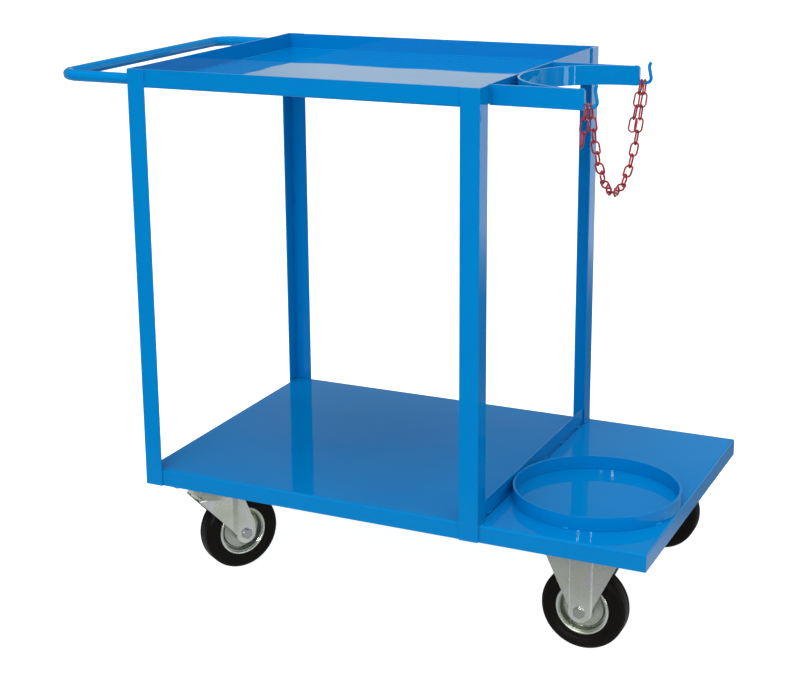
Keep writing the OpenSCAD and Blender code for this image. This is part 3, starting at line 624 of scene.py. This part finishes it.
lo, hi = box("stop_bar")
across("stop_bar", "stop_flat", rectangle(lo[0], hi[0], lo[2], hi[2]), 0.5)
t = 3.0
for end in ("left", "right"):
    lo, hi = box(f"{end}_castor_channel")
    u = [[lo[0], lo[2]], [hi[0], lo[2]], [hi[0], hi[2]], [hi[0] - t, hi[2]],
         [hi[0] - t, lo[2] + t], [lo[0] + t, lo[2] + t], [lo[0] + t, hi[2]], [lo[0], hi[2]]]
    across(f"{end}_castor_channel", f"{end}_channel", u, [4, 4, 0.4, 0.4, 1, 1, 0.4, 0.4])
print("stop bar and channels done")

# %% [markdown]
# ## Push handle
# One tube, bent twice, with its ends welded to the uprights. A round section is carried along a path of two arcs and
# three straights; on the arcs the path turns by equal small angles. The uprights close the tube's ends, so its
# inside never shows and flat caps do.

# %% Handle
handle_r, bend_r, bend_steps = 10.0, 40.0, 17


def handle():
    """Path = straight, quarter circle, straight, quarter circle, straight, in a level plane."""
    lo, hi = box("push_handle")
    x0, y0, y1, z = lo[0] + handle_r, lo[1] + handle_r, hi[1] - handle_r, (lo[2] + hi[2]) / 2
    q = np.linspace(0, np.pi / 2, bend_steps)
    first = np.c_[x0 + bend_r * (1 - np.sin(q)), y0 + bend_r * (1 - np.cos(q))]
    second = np.c_[x0 + bend_r * (1 - np.cos(q)), y1 - bend_r * (1 - np.sin(q))]
    xy = np.concatenate([[[hi[0], y0]], first, second, [[hi[0], y1]]])
    way = np.concatenate([[[-1, 0]], np.c_[-np.cos(q), np.sin(q)], np.c_[np.sin(q), np.cos(q)], [[1, 0]]])
    sideways = np.cross((0, 0, 1), np.c_[way, np.zeros(len(way))])
    return sweep(circle(handle_r, 28), np.c_[xy, np.full(len(xy), z)], sideways, (0, 0, 1))


painted("handle_tube", handle(), "push_handle")

# %% [markdown]
# ## Ring, hoop and arms
# All three are flat bar on edge, with a soft mill edge. The ring is rolled full round. The hoop is half a circle
# with a short straight at each end, and a straight arm runs outside each end of it.

# %% Flat bars
bar_t, bar_cut = 4.0, 3.0


def flat_bar(path, z0, z1, closed=False, cuts=(False, False)):
    """An upright rectangle with round edges carried along a level path, bar_t wide to the path's left. At a cut end
    the last section is lower by bar_cut at both edges, and a full one stands bar_cut before it."""
    path = np.asarray(path, float)
    for cut, end, beside, place in ((cuts[0], 0, 1, 1), (cuts[1], -1, -2, -1)):
        if cut:
            step = path[beside] - path[end]
            path = np.insert(path, place, path[end] + bar_cut * step / np.linalg.norm(step), 0)
    way = np.roll(path, -1, 0) - np.roll(path, 1, 0) if closed else np.gradient(path, axis=0)
    travel = np.c_[unit(way), np.zeros(len(way))]
    low = np.zeros(len(path))
    low[0], low[-1] = bar_cut * cuts[0], bar_cut * cuts[1]
    section = np.array([rounded(rectangle(0, bar_t, z0 + d, z1 - d), 0.7) for d in low])
    return sweep(section, np.c_[path, np.zeros(len(path))], np.cross((0, 0, 1), travel), (0, 0, 1), closed)


def arc(centre, r, a0, a1, n):
    """Points on a circle from angle a0 to a1, in degrees."""
    a = np.radians(np.linspace(a0, a1, n))
    return np.c_[centre[0] + r * np.cos(a), centre[1] + r * np.sin(a)]


lo, hi = box("cylinder_ring")
ring_c, ring_r = (lo + hi)[:2] / 2, (hi - lo)[0] / 2
whole = arc(ring_c, ring_r, 0, 360, 129)[:-1]
painted("cylinder_ring_bar", flat_bar(whole, lo[2], hi[2], closed=True), "cylinder_ring")

lo, hi = box("retaining_hoop")
hoop_end_x, bar_z0, bar_z1 = hi[0], lo[2], hi[2]
hoop_r = (hi[1] - lo[1]) / 2
hoop_c = np.array([lo[0] + hoop_r, (lo[1] + hi[1]) / 2])
half = arc(hoop_c, hoop_r, 90, 270, 73)
path = np.concatenate([[[hoop_end_x, hoop_c[1] + hoop_r]], half, [[hoop_end_x, hoop_c[1] - hoop_r]]])
painted("hoop_bar", flat_bar(path, bar_z0, bar_z1, cuts=(True, True)), "retaining_hoop", bevel=0.4)
for side in ("front", "rear"):
    lo, hi = box(f"{side}_hoop_arm")
    shape = flat_bar([[lo[0], lo[1]], [hi[0], lo[1]]], bar_z0, bar_z1, cuts=(False, True))
    painted(f"{side}_arm", shape, f"{side}_hoop_arm", bevel=0.4)
print("ring radius", ring_r, "hoop radius", hoop_r)

# %% [markdown]
# ## Hooks
# Each hook is a rod of 6 mm, welded on the ends of the hoop and its arm. It turns up, leans back over the chain and
# flares outwards at the tip. The path is drawn in an upright plane and a circle is carried along it.

# %% Hooks
hook_r, hook_bend_r, hook_up, hook_lean = 3.0, 8.0, 15.0, 12.0
tip_r, tip_a = 13.0, 50.0
tail_gap, strand_gap, link_d = 2.2, 2.6, 3.1
tail_x = hoop_end_x + link_d / 2 + tail_gap
strand_x = tail_x + link_d + strand_gap
hook_bend_x = strand_x + link_d / 2 + 1


def hook(side):
    """Path of (x, z): along the arm, a turn of 90 + lean degrees, a riser, then tip_a degrees back outwards. Every
    bend's point is its centre plus its radius times the normal, and angle is the direction of travel."""
    y, z = middle(f"{side}_chain_hook")[1], box(f"{side}_chain_hook")[0, 2] + hook_r
    full = np.radians(90 + hook_lean)
    q, w = np.linspace(0, full, 15), full - np.radians(np.linspace(0, tip_a, 11))
    turn = np.c_[hook_bend_x + hook_bend_r * np.sin(q), hook_bend_r * (1 - np.cos(q))]
    riser = turn[-1] + hook_up * np.array([np.cos(full), np.sin(full)])
    tip = riser + tip_r * (np.array([np.sin(full), -np.cos(full)]) - np.c_[np.sin(w), -np.cos(w)])
    xz = np.concatenate([[[hoop_end_x + 0.01, 0]], turn, tip])
    angle = np.concatenate([[0], q, w])
    travel = np.c_[np.cos(angle), np.zeros(len(angle)), np.sin(angle)]
    places = np.c_[xz[:, 0], np.full(len(xz), y), xz[:, 1] + z]
    return sweep(circle(hook_r, 20), places, np.cross((0, 1, 0), travel), (0, 1, 0))


for side in ("front", "rear"):
    painted(f"{side}_hook", hook(side), f"{side}_chain_hook", bevel=0.5)
hook_z = box("front_chain_hook")[0, 2] + hook_r
print("hooks at height", round(hook_z, 1))

# %% [markdown]
# ## Chain
# A link is a round wire bent into a long ring: two straights and two half circles. Every second link is turned a
# quarter about its length. The strand hangs in a catenary, the curve of a chain under its own weight: its height is
# a * cosh(y / a), and the length along it from the lowest point is a * sinh(y / a). Solving that for the known length
# and span gives a, and then the two ends of each link are points at known lengths along the curve.

# %% One link
link_l, link_w, link_gap = 29.0, 16.0, 0.1
pitch = link_l - 2 * link_d - link_gap
wire_reach = (link_l - link_d) / 2


def link(paint):
    """A circle carried round a stadium in the XZ plane: half circles of radius r joined by two straights."""
    r, s = (link_w - link_d) / 2, (link_l - link_w) / 2
    a = np.linspace(0, np.pi, 13)
    half = np.c_[np.cos(a), np.zeros(13), np.sin(a)]
    places = np.concatenate([r * half + (0, 0, s), -r * half - (0, 0, s)])
    out = np.concatenate([half, -half])
    travel = np.cross(out, (0, 1, 0))
    return sweep(circle(link_d / 2 + paint, 14), places, np.cross((0, 1, 0), travel), (0, 1, 0), closed=True)


def turned_z(v, degrees):
    """Points turned about the Z axis."""
    a = np.radians(degrees)
    return v @ np.array([[np.cos(a), np.sin(a), 0], [-np.sin(a), np.cos(a), 0], [0, 0, 1]])


# Between the strand's ends, which move against the hooks and rub thin, the paint grows thicker as a squared sine.
thin_paint, thick_paint = 0.02, 0.25
link_v, link_f = link(thin_paint)
print("link:", len(link_f), "faces")

# %% [markdown]
# Three numbers fix the chain's place: where the rods are, how far above a rod's middle the end link reaches, since
# it rests on the rod from above, and the strand's length, from the pitch of its links.

# %% The strand and the spare ends
strand_links = 21
hook_ys = middle("front_chain_hook")[1], middle("rear_chain_hook")[1]
mid_y, hook_half = sum(hook_ys) / 2, (hook_ys[1] - hook_ys[0]) / 2
rod_reach = hook_r + link_d / 2 + 0.15
strand_len = 2 * wire_reach + (strand_links - 1) * pitch


def catenary_a(half_len, half_span):
    """The a for which a * sinh(half_span / a) is half_len, by halving an interval."""
    low, high = 20.0, 4000.0
    for _ in range(60):
        mid = (low + high) / 2
        low, high = (mid, high) if mid * np.sinh(half_span / mid) > half_len else (low, mid)
    return low


slope = np.arctan((strand_len / 2 - wire_reach) / catenary_a(strand_len / 2, hook_half))
half_span = hook_half + rod_reach * np.cos(slope)
chain_a = catenary_a(strand_len / 2, half_span)
chain_low = hook_z + rod_reach * np.sin(slope) - chain_a * (np.cosh(half_span / chain_a) - 1)


def on_strand(s):
    """(y, z) at a length s from the lowest point."""
    return np.array([mid_y + chain_a * np.arcsinh(s / chain_a), chain_low + np.hypot(chain_a, s) - chain_a])


def strand():
    """Each link between two points of the catenary, turned so that its length lies along their chord."""
    parts = []
    free = np.sin(np.linspace(0, np.pi, strand_links)) ** 2
    for i in range(strand_links):
        s = -strand_len / 2 + i * pitch
        p, q = on_strand(s), on_strand(s + 2 * wire_reach)
        paint = thin_paint + (thick_paint - thin_paint) * free[i]
        v = turned_z(link(paint)[0], 90 if i % 2 == 0 else 0)
        d = (q - p) / np.linalg.norm(q - p)
        y, z = v[:, 1] * d[1] + v[:, 2] * d[0], -v[:, 1] * d[0] + v[:, 2] * d[1]
        parts.append((np.c_[v[:, 0] + strand_x, y + (p[0] + q[0]) / 2, z + (p[1] + q[1]) / 2], link_f))
    return joined(*parts)


def tail(y, count, lean):
    """Links one below another, each hanging a pitch lower, then turned about Y by lean degrees and moved to the rod."""
    parts = [(turned_z(link_v, 90 if i % 2 == 0 else 0) - (0, 0, wire_reach + i * pitch), link_f)
             for i in range(count)]
    v, f = joined(*parts)
    a = np.radians(lean)
    v = np.c_[v[:, 0] * np.cos(a) + v[:, 2] * np.sin(a), v[:, 1], v[:, 2] * np.cos(a) - v[:, 0] * np.sin(a)]
    return v + (tail_x, y, hook_z + rod_reach), f


put("hanging_chain", *strand(), "chain_strand_body", "red_chain", ["chain_strand"], sharp=80)
put("front_spare_links", *tail(hook_ys[0], 3, 7), "front_chain_tail_body", "red_chain", ["front_chain_tail"], sharp=80)
put("rear_spare_links", *tail(hook_ys[1], 4, 10), "rear_chain_tail_body", "red_chain", ["rear_chain_tail"], sharp=80)
print("strand hangs to", round(chain_low), "mm above the floor")

# %% [markdown]
# ## Weld beads
# A weld bead is a row of frozen ripples that fills the corner between two pieces. Here it is a circle whose radius
# swells and shrinks along the line and closes at both ends; the half that would lie inside the metal doesn't show.

# %% Weld beads
def along(points, count):
    """A polyline's places at even steps of its length, and the length at each; count gives their number."""
    points = np.asarray(points, float)
    d = np.r_[0, np.cumsum(np.linalg.norm(np.diff(points, axis=0), axis=1))]
    s = np.linspace(0, d[-1], count(d[-1]))
    return np.stack([np.interp(s, d, column) for column in points.T], 1), s


def bead(points, r, ripple=1.9):
    """Radius = r * (0.86 + 0.14 * |sin(pi s / ripple)|), times a round end over the last r of the length s, plus a
    small slow wave that makes the line look hand laid."""
    places, s = along(points, lambda length: max(9, int(length / ripple * 4)))
    travel = unit(np.gradient(places, axis=0))
    side = unit(np.cross(travel, (0.36, 0.48, 0.8)))
    end = np.clip(np.minimum(s, s[-1] - s) / r, 0.02, 1)
    size = r * (0.86 + 0.14 * np.abs(np.sin(np.pi * s / ripple))) * np.sqrt(1 - (1 - end) ** 2)
    size = size * (1 + 0.08 * np.sin(s * 0.9 + places[0, 0]))
    return sweep(circle(1.0, 10), places, side, np.cross(travel, side), size=size)


beads = []


def line(start, end, r):
    """One straight bead, laid with the others."""
    beads.append(bead([start, end], r))


def upright_line(x, y, z0, z1, r):
    """One straight bead from height z0 to z1."""
    line((x, y, z0), (x, y, z1), r)


print("beads are", len(bead([(0, 0, 0), (20, 0, 0)], 1.5)[0]), "points for 20 mm")

# %% [markdown]
# Now the beads go where the welder's torch could reach. At each upright they run up the toes of the angle, along the
# rims of the deck and the tray; then come the arms, the hoop, the hooks, the handle, the ring's four tacks, the
# platform's notches and the stop bar.

# %% Lay the beads
tray_rim, deck_rim, inside = 33.0, 32.0, 297.0
tray_z0, deck_z0, notch_end = frame_top - tray_rim, deck_top - deck_rim, inside - 31.5
for sx in (-1, 1):
    for sy in (-1, 1):
        heel_x, heel_y = (x_left if sx < 0 else x_right), sy * -front_y
        face_x, face_y = heel_x - sx * angle_t, sy * inside
        toe_x, toe_y = heel_x - sx * angle_w, heel_y - sy * angle_w
        for z0, z1 in ((deck_z0 + 3, deck_top - 1.5), (tray_z0 + 3, frame_top - 1.5)):
            upright_line(toe_x, face_y, z0, z1, 1.3)
            upright_line(face_x, toe_y, z0, z1, 1.3)
        line((toe_x + sx * 3, face_y - sy * 0.3, deck_top), (toe_x + sx * 16, face_y - sy * 0.3, deck_top), 1.2)

for side, sy in (("front", -1), ("rear", 1)):
    lo, hi = box(f"{side}_hoop_arm")
    for y in (lo[1], hi[1]):
        upright_line(lo[0], y, lo[2] + 2, hi[2] - 1, 1.8)
    line((lo[0], lo[1], hi[2] - 0.5), (lo[0], hi[1], hi[2] - 0.5), 1.5)
    seam_y = lo[1] if sy > 0 else hi[1]
    line((hoop_c[0] + 2, seam_y, hi[2]), (hoop_end_x - 3, seam_y, hi[2]), 1.2)
    round_rod = arc((seam_y, box(f"{side}_chain_hook")[0, 2] + hook_r), hook_r + 0.3, 0, 360, 25)
    beads.append(bead(np.c_[np.full(25, hoop_end_x + 0.2), round_rod], 1.3))
    handle_y = sy * (box("push_handle")[1, 1] - handle_r)
    round_tube = arc((handle_y, middle("push_handle")[2]), handle_r + 0.4, 0, 360, 49)
    beads.append(bead(np.c_[np.full(49, x_left - 0.4), round_tube], 1.6))

for sy in (-1, 1):
    touch_x, touch_y = arc(hoop_c, hoop_r, 180 - sy * 6, 180 - sy * 6, 1)[0]
    upright_line(touch_x, touch_y, bar_z0 + 1, bar_z1 - 1, 1.6)
for a in (-92, -27, 52, 148):
    tack = arc(ring_c, ring_r + 1.0, a - 2.6, a + 2.6, 7)
    beads.append(bead(np.c_[tack, np.full(7, deck_top + 0.8)], 3.4, 2.6))

lo, hi = box("stop_bar")
seam_x, bar_x = x_right + 0.4, middle("stop_bar")[0]
for sy in (-1, 1):
    line((seam_x, sy * (inside + 0.6), deck_top - 0.4), (seam_x, sy * notch_end, deck_top - 0.4), 1.5)
    upright_line(seam_x, sy * (inside + 1.2), deck_top - 1, deck_z0 + 3, 1.2)
    upright_line(bar_x, sy * hi[1], deck_top + 1, hi[2] - 1, 1.5)
for y in np.linspace(-235, 235, 6):
    line((hi[0], y - 9, deck_top + 0.3), (hi[0], y + 9, deck_top + 0.3), 1.5)
painted("weld_beads", joined(*beads), sharp=80)
print("beads:", len(beads))

# %% [markdown]
# ## Castors
# A castor is pressed and turned parts round two axes. Turned parts are a closed section carried round a circle.
# They are drawn standing on Z, then laid on Y for an axle.

# %% Turned parts
def turned(profile, n=96):
    """A closed section of (radius, height), counter-clockwise, carried round the Z axis in n equal steps."""
    a = -np.arange(n) * 2 * np.pi / n
    out = np.c_[np.cos(a), np.sin(a), np.zeros(n)]
    return sweep(profile, np.zeros((n, 3)), out, (0, 0, 1), closed=True)


def laid(shape, hand=1):
    """A shape with its Z axis turned to -Y for hand 1 and to +Y for hand -1, by a quarter turn about X."""
    v = np.asarray(shape[0], float)
    return np.c_[v[:, 0], -hand * v[:, 2], hand * v[:, 1]], shape[1]


def hexagon(r_flat, z0, z1, chamfer_low, chamfer_high, hole=0.0, n=72):
    """A hexagonal bolt head or nut. At angle p the hexagon's radius is r_flat / cos(p within its side), and a cone
    of 30 degrees cuts the corners near each chamfered face: the smaller radius counts."""
    p = np.arange(n) * 2 * np.pi / n
    side = r_flat / np.cos((p + np.pi / 6) % (np.pi / 3) - np.pi / 6)
    end_r, cone, uncut = r_flat * 0.96, np.tan(np.radians(30)), 1e3
    deep = (r_flat / np.cos(np.pi / 6) - end_r) * cone
    q = np.linspace(0, 1, 5)
    z = np.concatenate([z0 + deep * q, z1 - deep * q[::-1]])
    cut_low = end_r + (z - z0) / cone if chamfer_low else np.full(len(z), uncut)
    cut_high = end_r + (z1 - z) / cone if chamfer_high else np.full(len(z), uncut)
    r = np.minimum(side[None], np.minimum(cut_low, cut_high)[:, None])
    rings = np.stack([r * np.cos(p), r * np.sin(p), np.broadcast_to(z[:, None], r.shape)], -1)
    if hole:
        wall = np.stack([hole * np.cos(p), hole * np.sin(p), np.zeros(n)], -1)
        rings = np.concatenate([[wall + (0, 0, z0)], rings, [wall + (0, 0, z1)]])
    faces = grid_faces(len(rings), n, wrap_rows=bool(hole)).tolist()
    return rings.reshape(-1, 3), faces if hole else faces + end_caps(len(rings), n)


def peg(r, z0, z1, soft=0.6):
    """A round pin with softened ends, closed at its poles."""
    return turned(rounded([[0, z0], [r, z0], [r, z1], [0, z1]], [0, soft, soft, 0]), 40)


print("turned parts ready")

# %% [markdown]
# The tyre is solid rubber, moulded with fine ribs round the tread and on both walls. Its outer contour is a smooth
# line, and each groove lowers it by a small bell curve of the length along the line.

# %% Tyre
rim_r, tyre_r, tyre_half, shoulder = 47.5, 75.0, 20.0, 9.0
grooves = ((7.5, 0.9, 0.9), (11.5, 0.7, 0.6), (19.5, 0.8, 0.7), (24.5, 0.8, 0.7), (29.5, 0.8, 0.8), (36.0, 1.0, 1.0))


def tyre():
    """Outer contour = wall, shoulder of radius 9, tread, shoulder, wall, less depth * exp(-(s - s0)^2 / w^2) at each
    groove; the part held between the discs closes it."""
    q = np.linspace(0, np.pi / 2, 9)
    bend = np.c_[tyre_r - shoulder + shoulder * np.sin(q), tyre_half - shoulder + shoulder * np.cos(q)]
    wall = [[rim_r + 0.15, tyre_half - 1.6], [rim_r + 4, tyre_half - 0.9]]
    half_line, s = along(np.concatenate([wall, bend, [[tyre_r, 0]]]), lambda length: int(length / 0.7) + 1)
    depth = sum(d * np.exp(-((s - s0) / w) ** 2) for s0, w, d in grooves)
    way = unit(np.gradient(half_line, axis=0))
    inward = np.c_[way[:, 1], -way[:, 0]]
    inward *= -np.sign((inward * (half_line - (60, 0))).sum(1))[:, None]
    half_line = half_line + inward * depth[:, None]
    half_line[-1, 1] = 0
    outer = np.concatenate([half_line * (1, -1), half_line[:-1][::-1]])
    seat_r, seat_y = rim_r - 0.1, tyre_half - 5.2
    seat = [[seat_r, seat_y], [seat_r - 5.2, seat_y], [seat_r - 5.2, -seat_y], [seat_r, -seat_y]]
    return laid(turned(np.concatenate([outer, seat]), 112))


tread = tyre()
print("tyre:", len(tread[1]), "faces")

# %% [markdown]
# The rim is two pressed discs on a hub tube. Each disc is dished round the hub, runs out flat, turns up in a deep
# well wall and ends in a rolled edge that shows as a bright ring.

# %% Rim
def rim():
    """The disc's section with a radius for each corner, once on each side, and the hub tube's section; then the
    rolled edges, a round wire of 2.4 beside each disc."""
    disc = rounded([[18, 9], [34, 9], [34, 1], [42, 1], [42, 15], [46, 15], [46, 17], [40.5, 17],
                    [40.5, 3], [36, 3], [36, 10.5], [30, 11.5], [23, 14], [20, 14], [20, 18], [18, 18]],
                   [0.4, 1, 1, 1.5, 1.2, 0.8, 0.8, 0.9, 1.6, 1.6, 1.8, 4, 4, 1, 0.6, 0.3], 5)
    disc = turned(disc)
    tube = turned(rounded(rectangle(15.3, 18, -22, 22), 0.5), 64)
    wire = turned(circle(2.4) + (45.1, 17.3))
    return joined(laid(disc), laid(disc, -1), laid(tube)), joined(laid(wire), laid(wire, -1))


discs, edges = rim()
print("rim:", len(discs[1]) + len(edges[1]), "faces")

# %% [markdown]
# A fork is one pressed sheet. Each leg has a raised channel down its middle, which stiffens it and clears the hub.
# The sheet is a grid: columns across the leg, rows from the foot up over the crown and down to the other foot. The
# height of the sheet's face over a column is a smooth step up into the channel and a steeper one down again. Rows are
# cut to the leg's outline by holding each column between the outline's two edges.

# %% Pressed forks
axle_z, fork_t, leg_face, press, arch = 75.0, 3.0, 27.0, 5.0, 1.1


def smooth(x, a, b):
    """0 before a, 1 after b, and 3t^2 - 2t^3 between them."""
    t = np.clip((x - a) / (b - a), 0, 1)
    return t * t * (3 - 2 * t)


def leg_rows(c, foot_r, outline, top, rows=26):
    """Heights from the foot to the top, and the two edges there. Below the axle the edges are a circle's."""
    q = np.linspace(0, np.pi / 2, 10)
    foot_z = axle_z - foot_r * np.cos(q)
    low = np.c_[foot_z, c - foot_r * np.sin(q), c + foot_r * np.sin(q)]
    z = np.linspace(axle_z, top, rows)[1:]
    corners = np.asarray(outline, float)
    high = np.c_[z, np.interp(z, corners[:, 0], corners[:, 1]), np.interp(z, corners[:, 0], corners[:, 2])]
    return np.concatenate([low, high])


def fork_sheet(a, b, slant_l, slant_r, rows, x0, x1, crown_z=None, flare=0.0):
    """Outer face of a fork, raised between a and b and slightly arched there. Columns are closer together where the
    sheet bends. With crown_z the rows go over the crown on a bend radius and down to the other foot; without it each
    leg flares at its top."""
    dense = np.concatenate([np.linspace(a - slant_l - 1, a + 1, 12), np.linspace(b - 1, b + slant_r + 1, 8)])
    x = np.unique(np.round(np.concatenate([np.linspace(x0, x1, 24), dense]), 3))
    lift = smooth(x, a - slant_l, a) * (1 - smooth(x, b, b + slant_r))
    face = leg_face + press * lift - arch * lift * np.clip(np.abs(2 * x - a - b) / (b - a), 0, 1) ** 2
    cols = np.clip(x[None], rows[:, 1:2], rows[:, 2:3])
    y = np.interp(cols, x, face)
    leg = np.stack([cols, y, np.broadcast_to(rows[:, :1], cols.shape)], -1)
    q = np.linspace(0, np.pi / 2, 7)[1:, None]
    r, out = (flare, 1) if crown_z is None else (crown_z - rows[-1, 0], -1)
    bend = np.stack([np.broadcast_to(cols[-1], (6, len(x))), y[-1] + out * r * (1 - np.cos(q)),
                     np.broadcast_to(rows[-1, 0] + r * np.sin(q), (6, len(x)))], -1)
    leg = np.concatenate([leg, bend])
    if crown_z is not None:
        whole = np.concatenate([leg, leg[::-1] * (1, -1, 1)])
        return whole.reshape(-1, 3), grid_faces(len(whole), len(x), wrap_cols=False).tolist()
    v, f = leg.reshape(-1, 3), grid_faces(len(leg), len(x), wrap_cols=False)
    return joined((v, f.tolist()), (v * (1, -1, 1), f[:, ::-1].tolist()))


crown, trail, foot_r = 160.0, 50.0, 19.0
rows = leg_rows(trail, foot_r, [[75, 31, 69], [94, 14, 68], [crown - 5, -42, 44.5]], crown - 5)
swivel_fork = fork_sheet(trail - 14, trail + 20, 12, 4, rows, -44, 69, crown_z=crown)
rows = leg_rows(0, foot_r, [[75, -19, 19], [85, -23, 23], [175, -66, 66]], 176)
fixed_fork = fork_sheet(-16.5, 16.5, 4, 4, rows, -66, 66, flare=5)
print("fork sheets:", len(swivel_fork[1]), len(fixed_fork[1]), "faces")

# %% [markdown]
# The small turned parts are the axle's bolt and nut, the top plate, the upper race that hangs from it round the balls
# and the lower race that stands on the fork.

# %% Bolt, nut, plate and races
washer = turned(rounded([[0, -32.8], [9.2, -32.8], [9.2, -32], [0, -32]], [0, 0.2, 0.2, 0]), 40)
axle_bolt = laid(joined(hexagon(9.5, -39.4, -32.6, True, False), washer, peg(6, -32.4, 45, 1.0)), -1)
axle_nut = laid(hexagon(9.5, 32.2, 42, True, True, hole=6.2), -1)
plate_z0, plate_z1 = 181.0, 185.0
sheet = rounded(rectangle(-67.5, 67.5, -55, 55), 8, 6)
plate = sweep(sheet, [(0, 0, plate_z0), (0, 0, plate_z1)], (1, 0, 0), (0, 1, 0))
upper_race = turned(rounded([[26, 171.5], [36, 171.5], [42, 171.5], [42, 178.5], [45, 178.5], [45, 165.5],
                             [47.5, 165.5], [47.5, plate_z0], [26, plate_z0]],
                            [0.5, 0.5, 0.8, 1, 1, 0.6, 0.8, 2, 0.3]), 80)
lower_race = turned(rounded([[25, 157.5], [43, 157.5], [43, 169], [38, 169], [30, 169], [25, 169]],
                            [0.3, 0.5, 1.5, 0.3, 0.3, 0.5]), 80)
print("top plate of", plate_z1 - plate_z0, "mm")

# %% [markdown]
# Each castor is put together at the place of its own solids: the tyre's box gives the axle, and for a swivel castor
# the kingpin gives the other axis. The direction from one to the other is the way the castor trails.

# %% Put the castors together
def mounted(shape, place, degrees):
    """A shape's points turned about Z and moved to a place, and its faces."""
    return turned_z(np.asarray(shape[0], float), degrees) + place, shape[1]


def body_of(node_name):
    """The body that a solid rides on."""
    return frame["nodes"][node_name]["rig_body"]


def wheel(name, roll, hold, centre, degrees):
    """Tyre, discs and rolled edges of one castor on the body that rolls, bolt and nut on the fork's."""
    for part, shape, body, slot, solids, sharp in (
            ("tread", tread, roll, "black_rubber", [f"{name}_tyre"], 70),
            ("discs", discs, roll, "zinc_steel", [f"{name}_rim"], 50),
            ("rolled_edges", edges, roll, "zinc_steel", [], 80),
            ("bolt", axle_bolt, hold, "zinc_steel", [f"{name}_axle_bolt"], 25),
            ("nut", axle_nut, hold, "zinc_steel", [f"{name}_axle_nut"], 25)):
        made = put(f"{name}_{part}", *mounted(shape, centre, degrees), body, slot, solids, sharp=sharp)
        # The discs and the axle bolt take the darker zinc copy: painted shade.
        if part in ("discs", "bolt"):
            made.data.materials[0] = SHADED_ZINC


for side in ("front", "rear"):
    for end in ("left", "right"):
        name, swivels = f"{side}_{end}", end == "left"
        centre = middle(f"{name}_tyre") * (1, 1, 0) + (0, 0, axle_z)
        roll, hold = body_of(f"{name}_tyre"), body_of(f"{name}_fork")
        foot = middle(f"{name}_kingpin" if swivels else f"{name}_tyre") * (1, 1, 0)
        way = centre - foot
        degrees = np.degrees(np.arctan2(way[1], way[0])) if swivels else 0
        put(f"{name}_bracket", *mounted(swivel_fork if swivels else fixed_fork, foot, degrees), hold, "zinc_steel",
            [f"{name}_fork"], solidify=fork_t, bevel=0.5, sharp=50)
        if swivels:
            put(f"{name}_lower_race", *mounted(lower_race, foot, degrees), hold, "zinc_steel")
            put(f"{name}_plate", *mounted(joined(plate, upper_race), foot, 0), "cart", "zinc_steel",
                [f"{name}_top_plate"], bevel=0.4, sharp=60)
        else:
            put(f"{name}_plate", *mounted(plate, foot, 0), hold, "zinc_steel", bevel=0.4, sharp=60)
        wheel(name, roll, hold, centre, degrees)

# %% [markdown]
# The castors are bolted up through the channels. The bolt heads sit under the plates and the nuts inside.

# %% Castor bolts
hole_x, hole_y = 52.5, 40.0
bolt_v, bolt_f = joined(hexagon(8.5, 174.6, 180.9, True, False), peg(5, 180.5, 199, 0.8))
bolts = [(bolt_v + (x + dx, y + dy, 0), bolt_f)
         for x in (middle("front_left_top_plate")[0], middle("front_right_tyre")[0])
         for y in (middle("front_left_top_plate")[1], middle("rear_left_top_plate")[1])
         for dx in (-hole_x, hole_x) for dy in (-hole_y, hole_y)]
put("plate_bolts", *joined(*bolts), "cart", "zinc_steel", ["castor_bolts"], sharp=25)
print("bolts:", len(bolts))

# %% [markdown]
# What stays of the solids is inside or underneath: nuts, pins, balls, bushes and rollers. They take the finish of
# their slot.

# %% Finish the solids that show
for name, thing in frame["nodes"].items():
    if thing.hide_render:
        continue
    steel = any(word in name for word in ("kingpin", "balls", "bush", "rollers")) and "nuts" not in name
    if not thing.material_slots:
        thing.data.materials.append(None)
    for slot in thing.material_slots:
        slot.material = STEEL if steel else ZINC
print("solids that show:", sum(not o.hide_render for o in frame["nodes"].values()))

# %% [markdown]
# The narrow strips are strong. A flat sheet seen low from behind would mirror them as plain white bars, so light
# linking, which says what a lamp may reach, leaves the three wide sheets out. All the rest still shows the strips.

# %% Keep the strips off the wide sheets
wide_sheets = bpy.data.collections.new("out_of_the_strips_reach")
for name in ("tray", "deck", "platform"):
    wide_sheets.objects.link(bpy.data.objects[name])
for member in wide_sheets.collection_objects:
    member.light_linking.link_state = "EXCLUDE"
for strip in strips:
    strip.light_linking.receiver_collection = wide_sheets
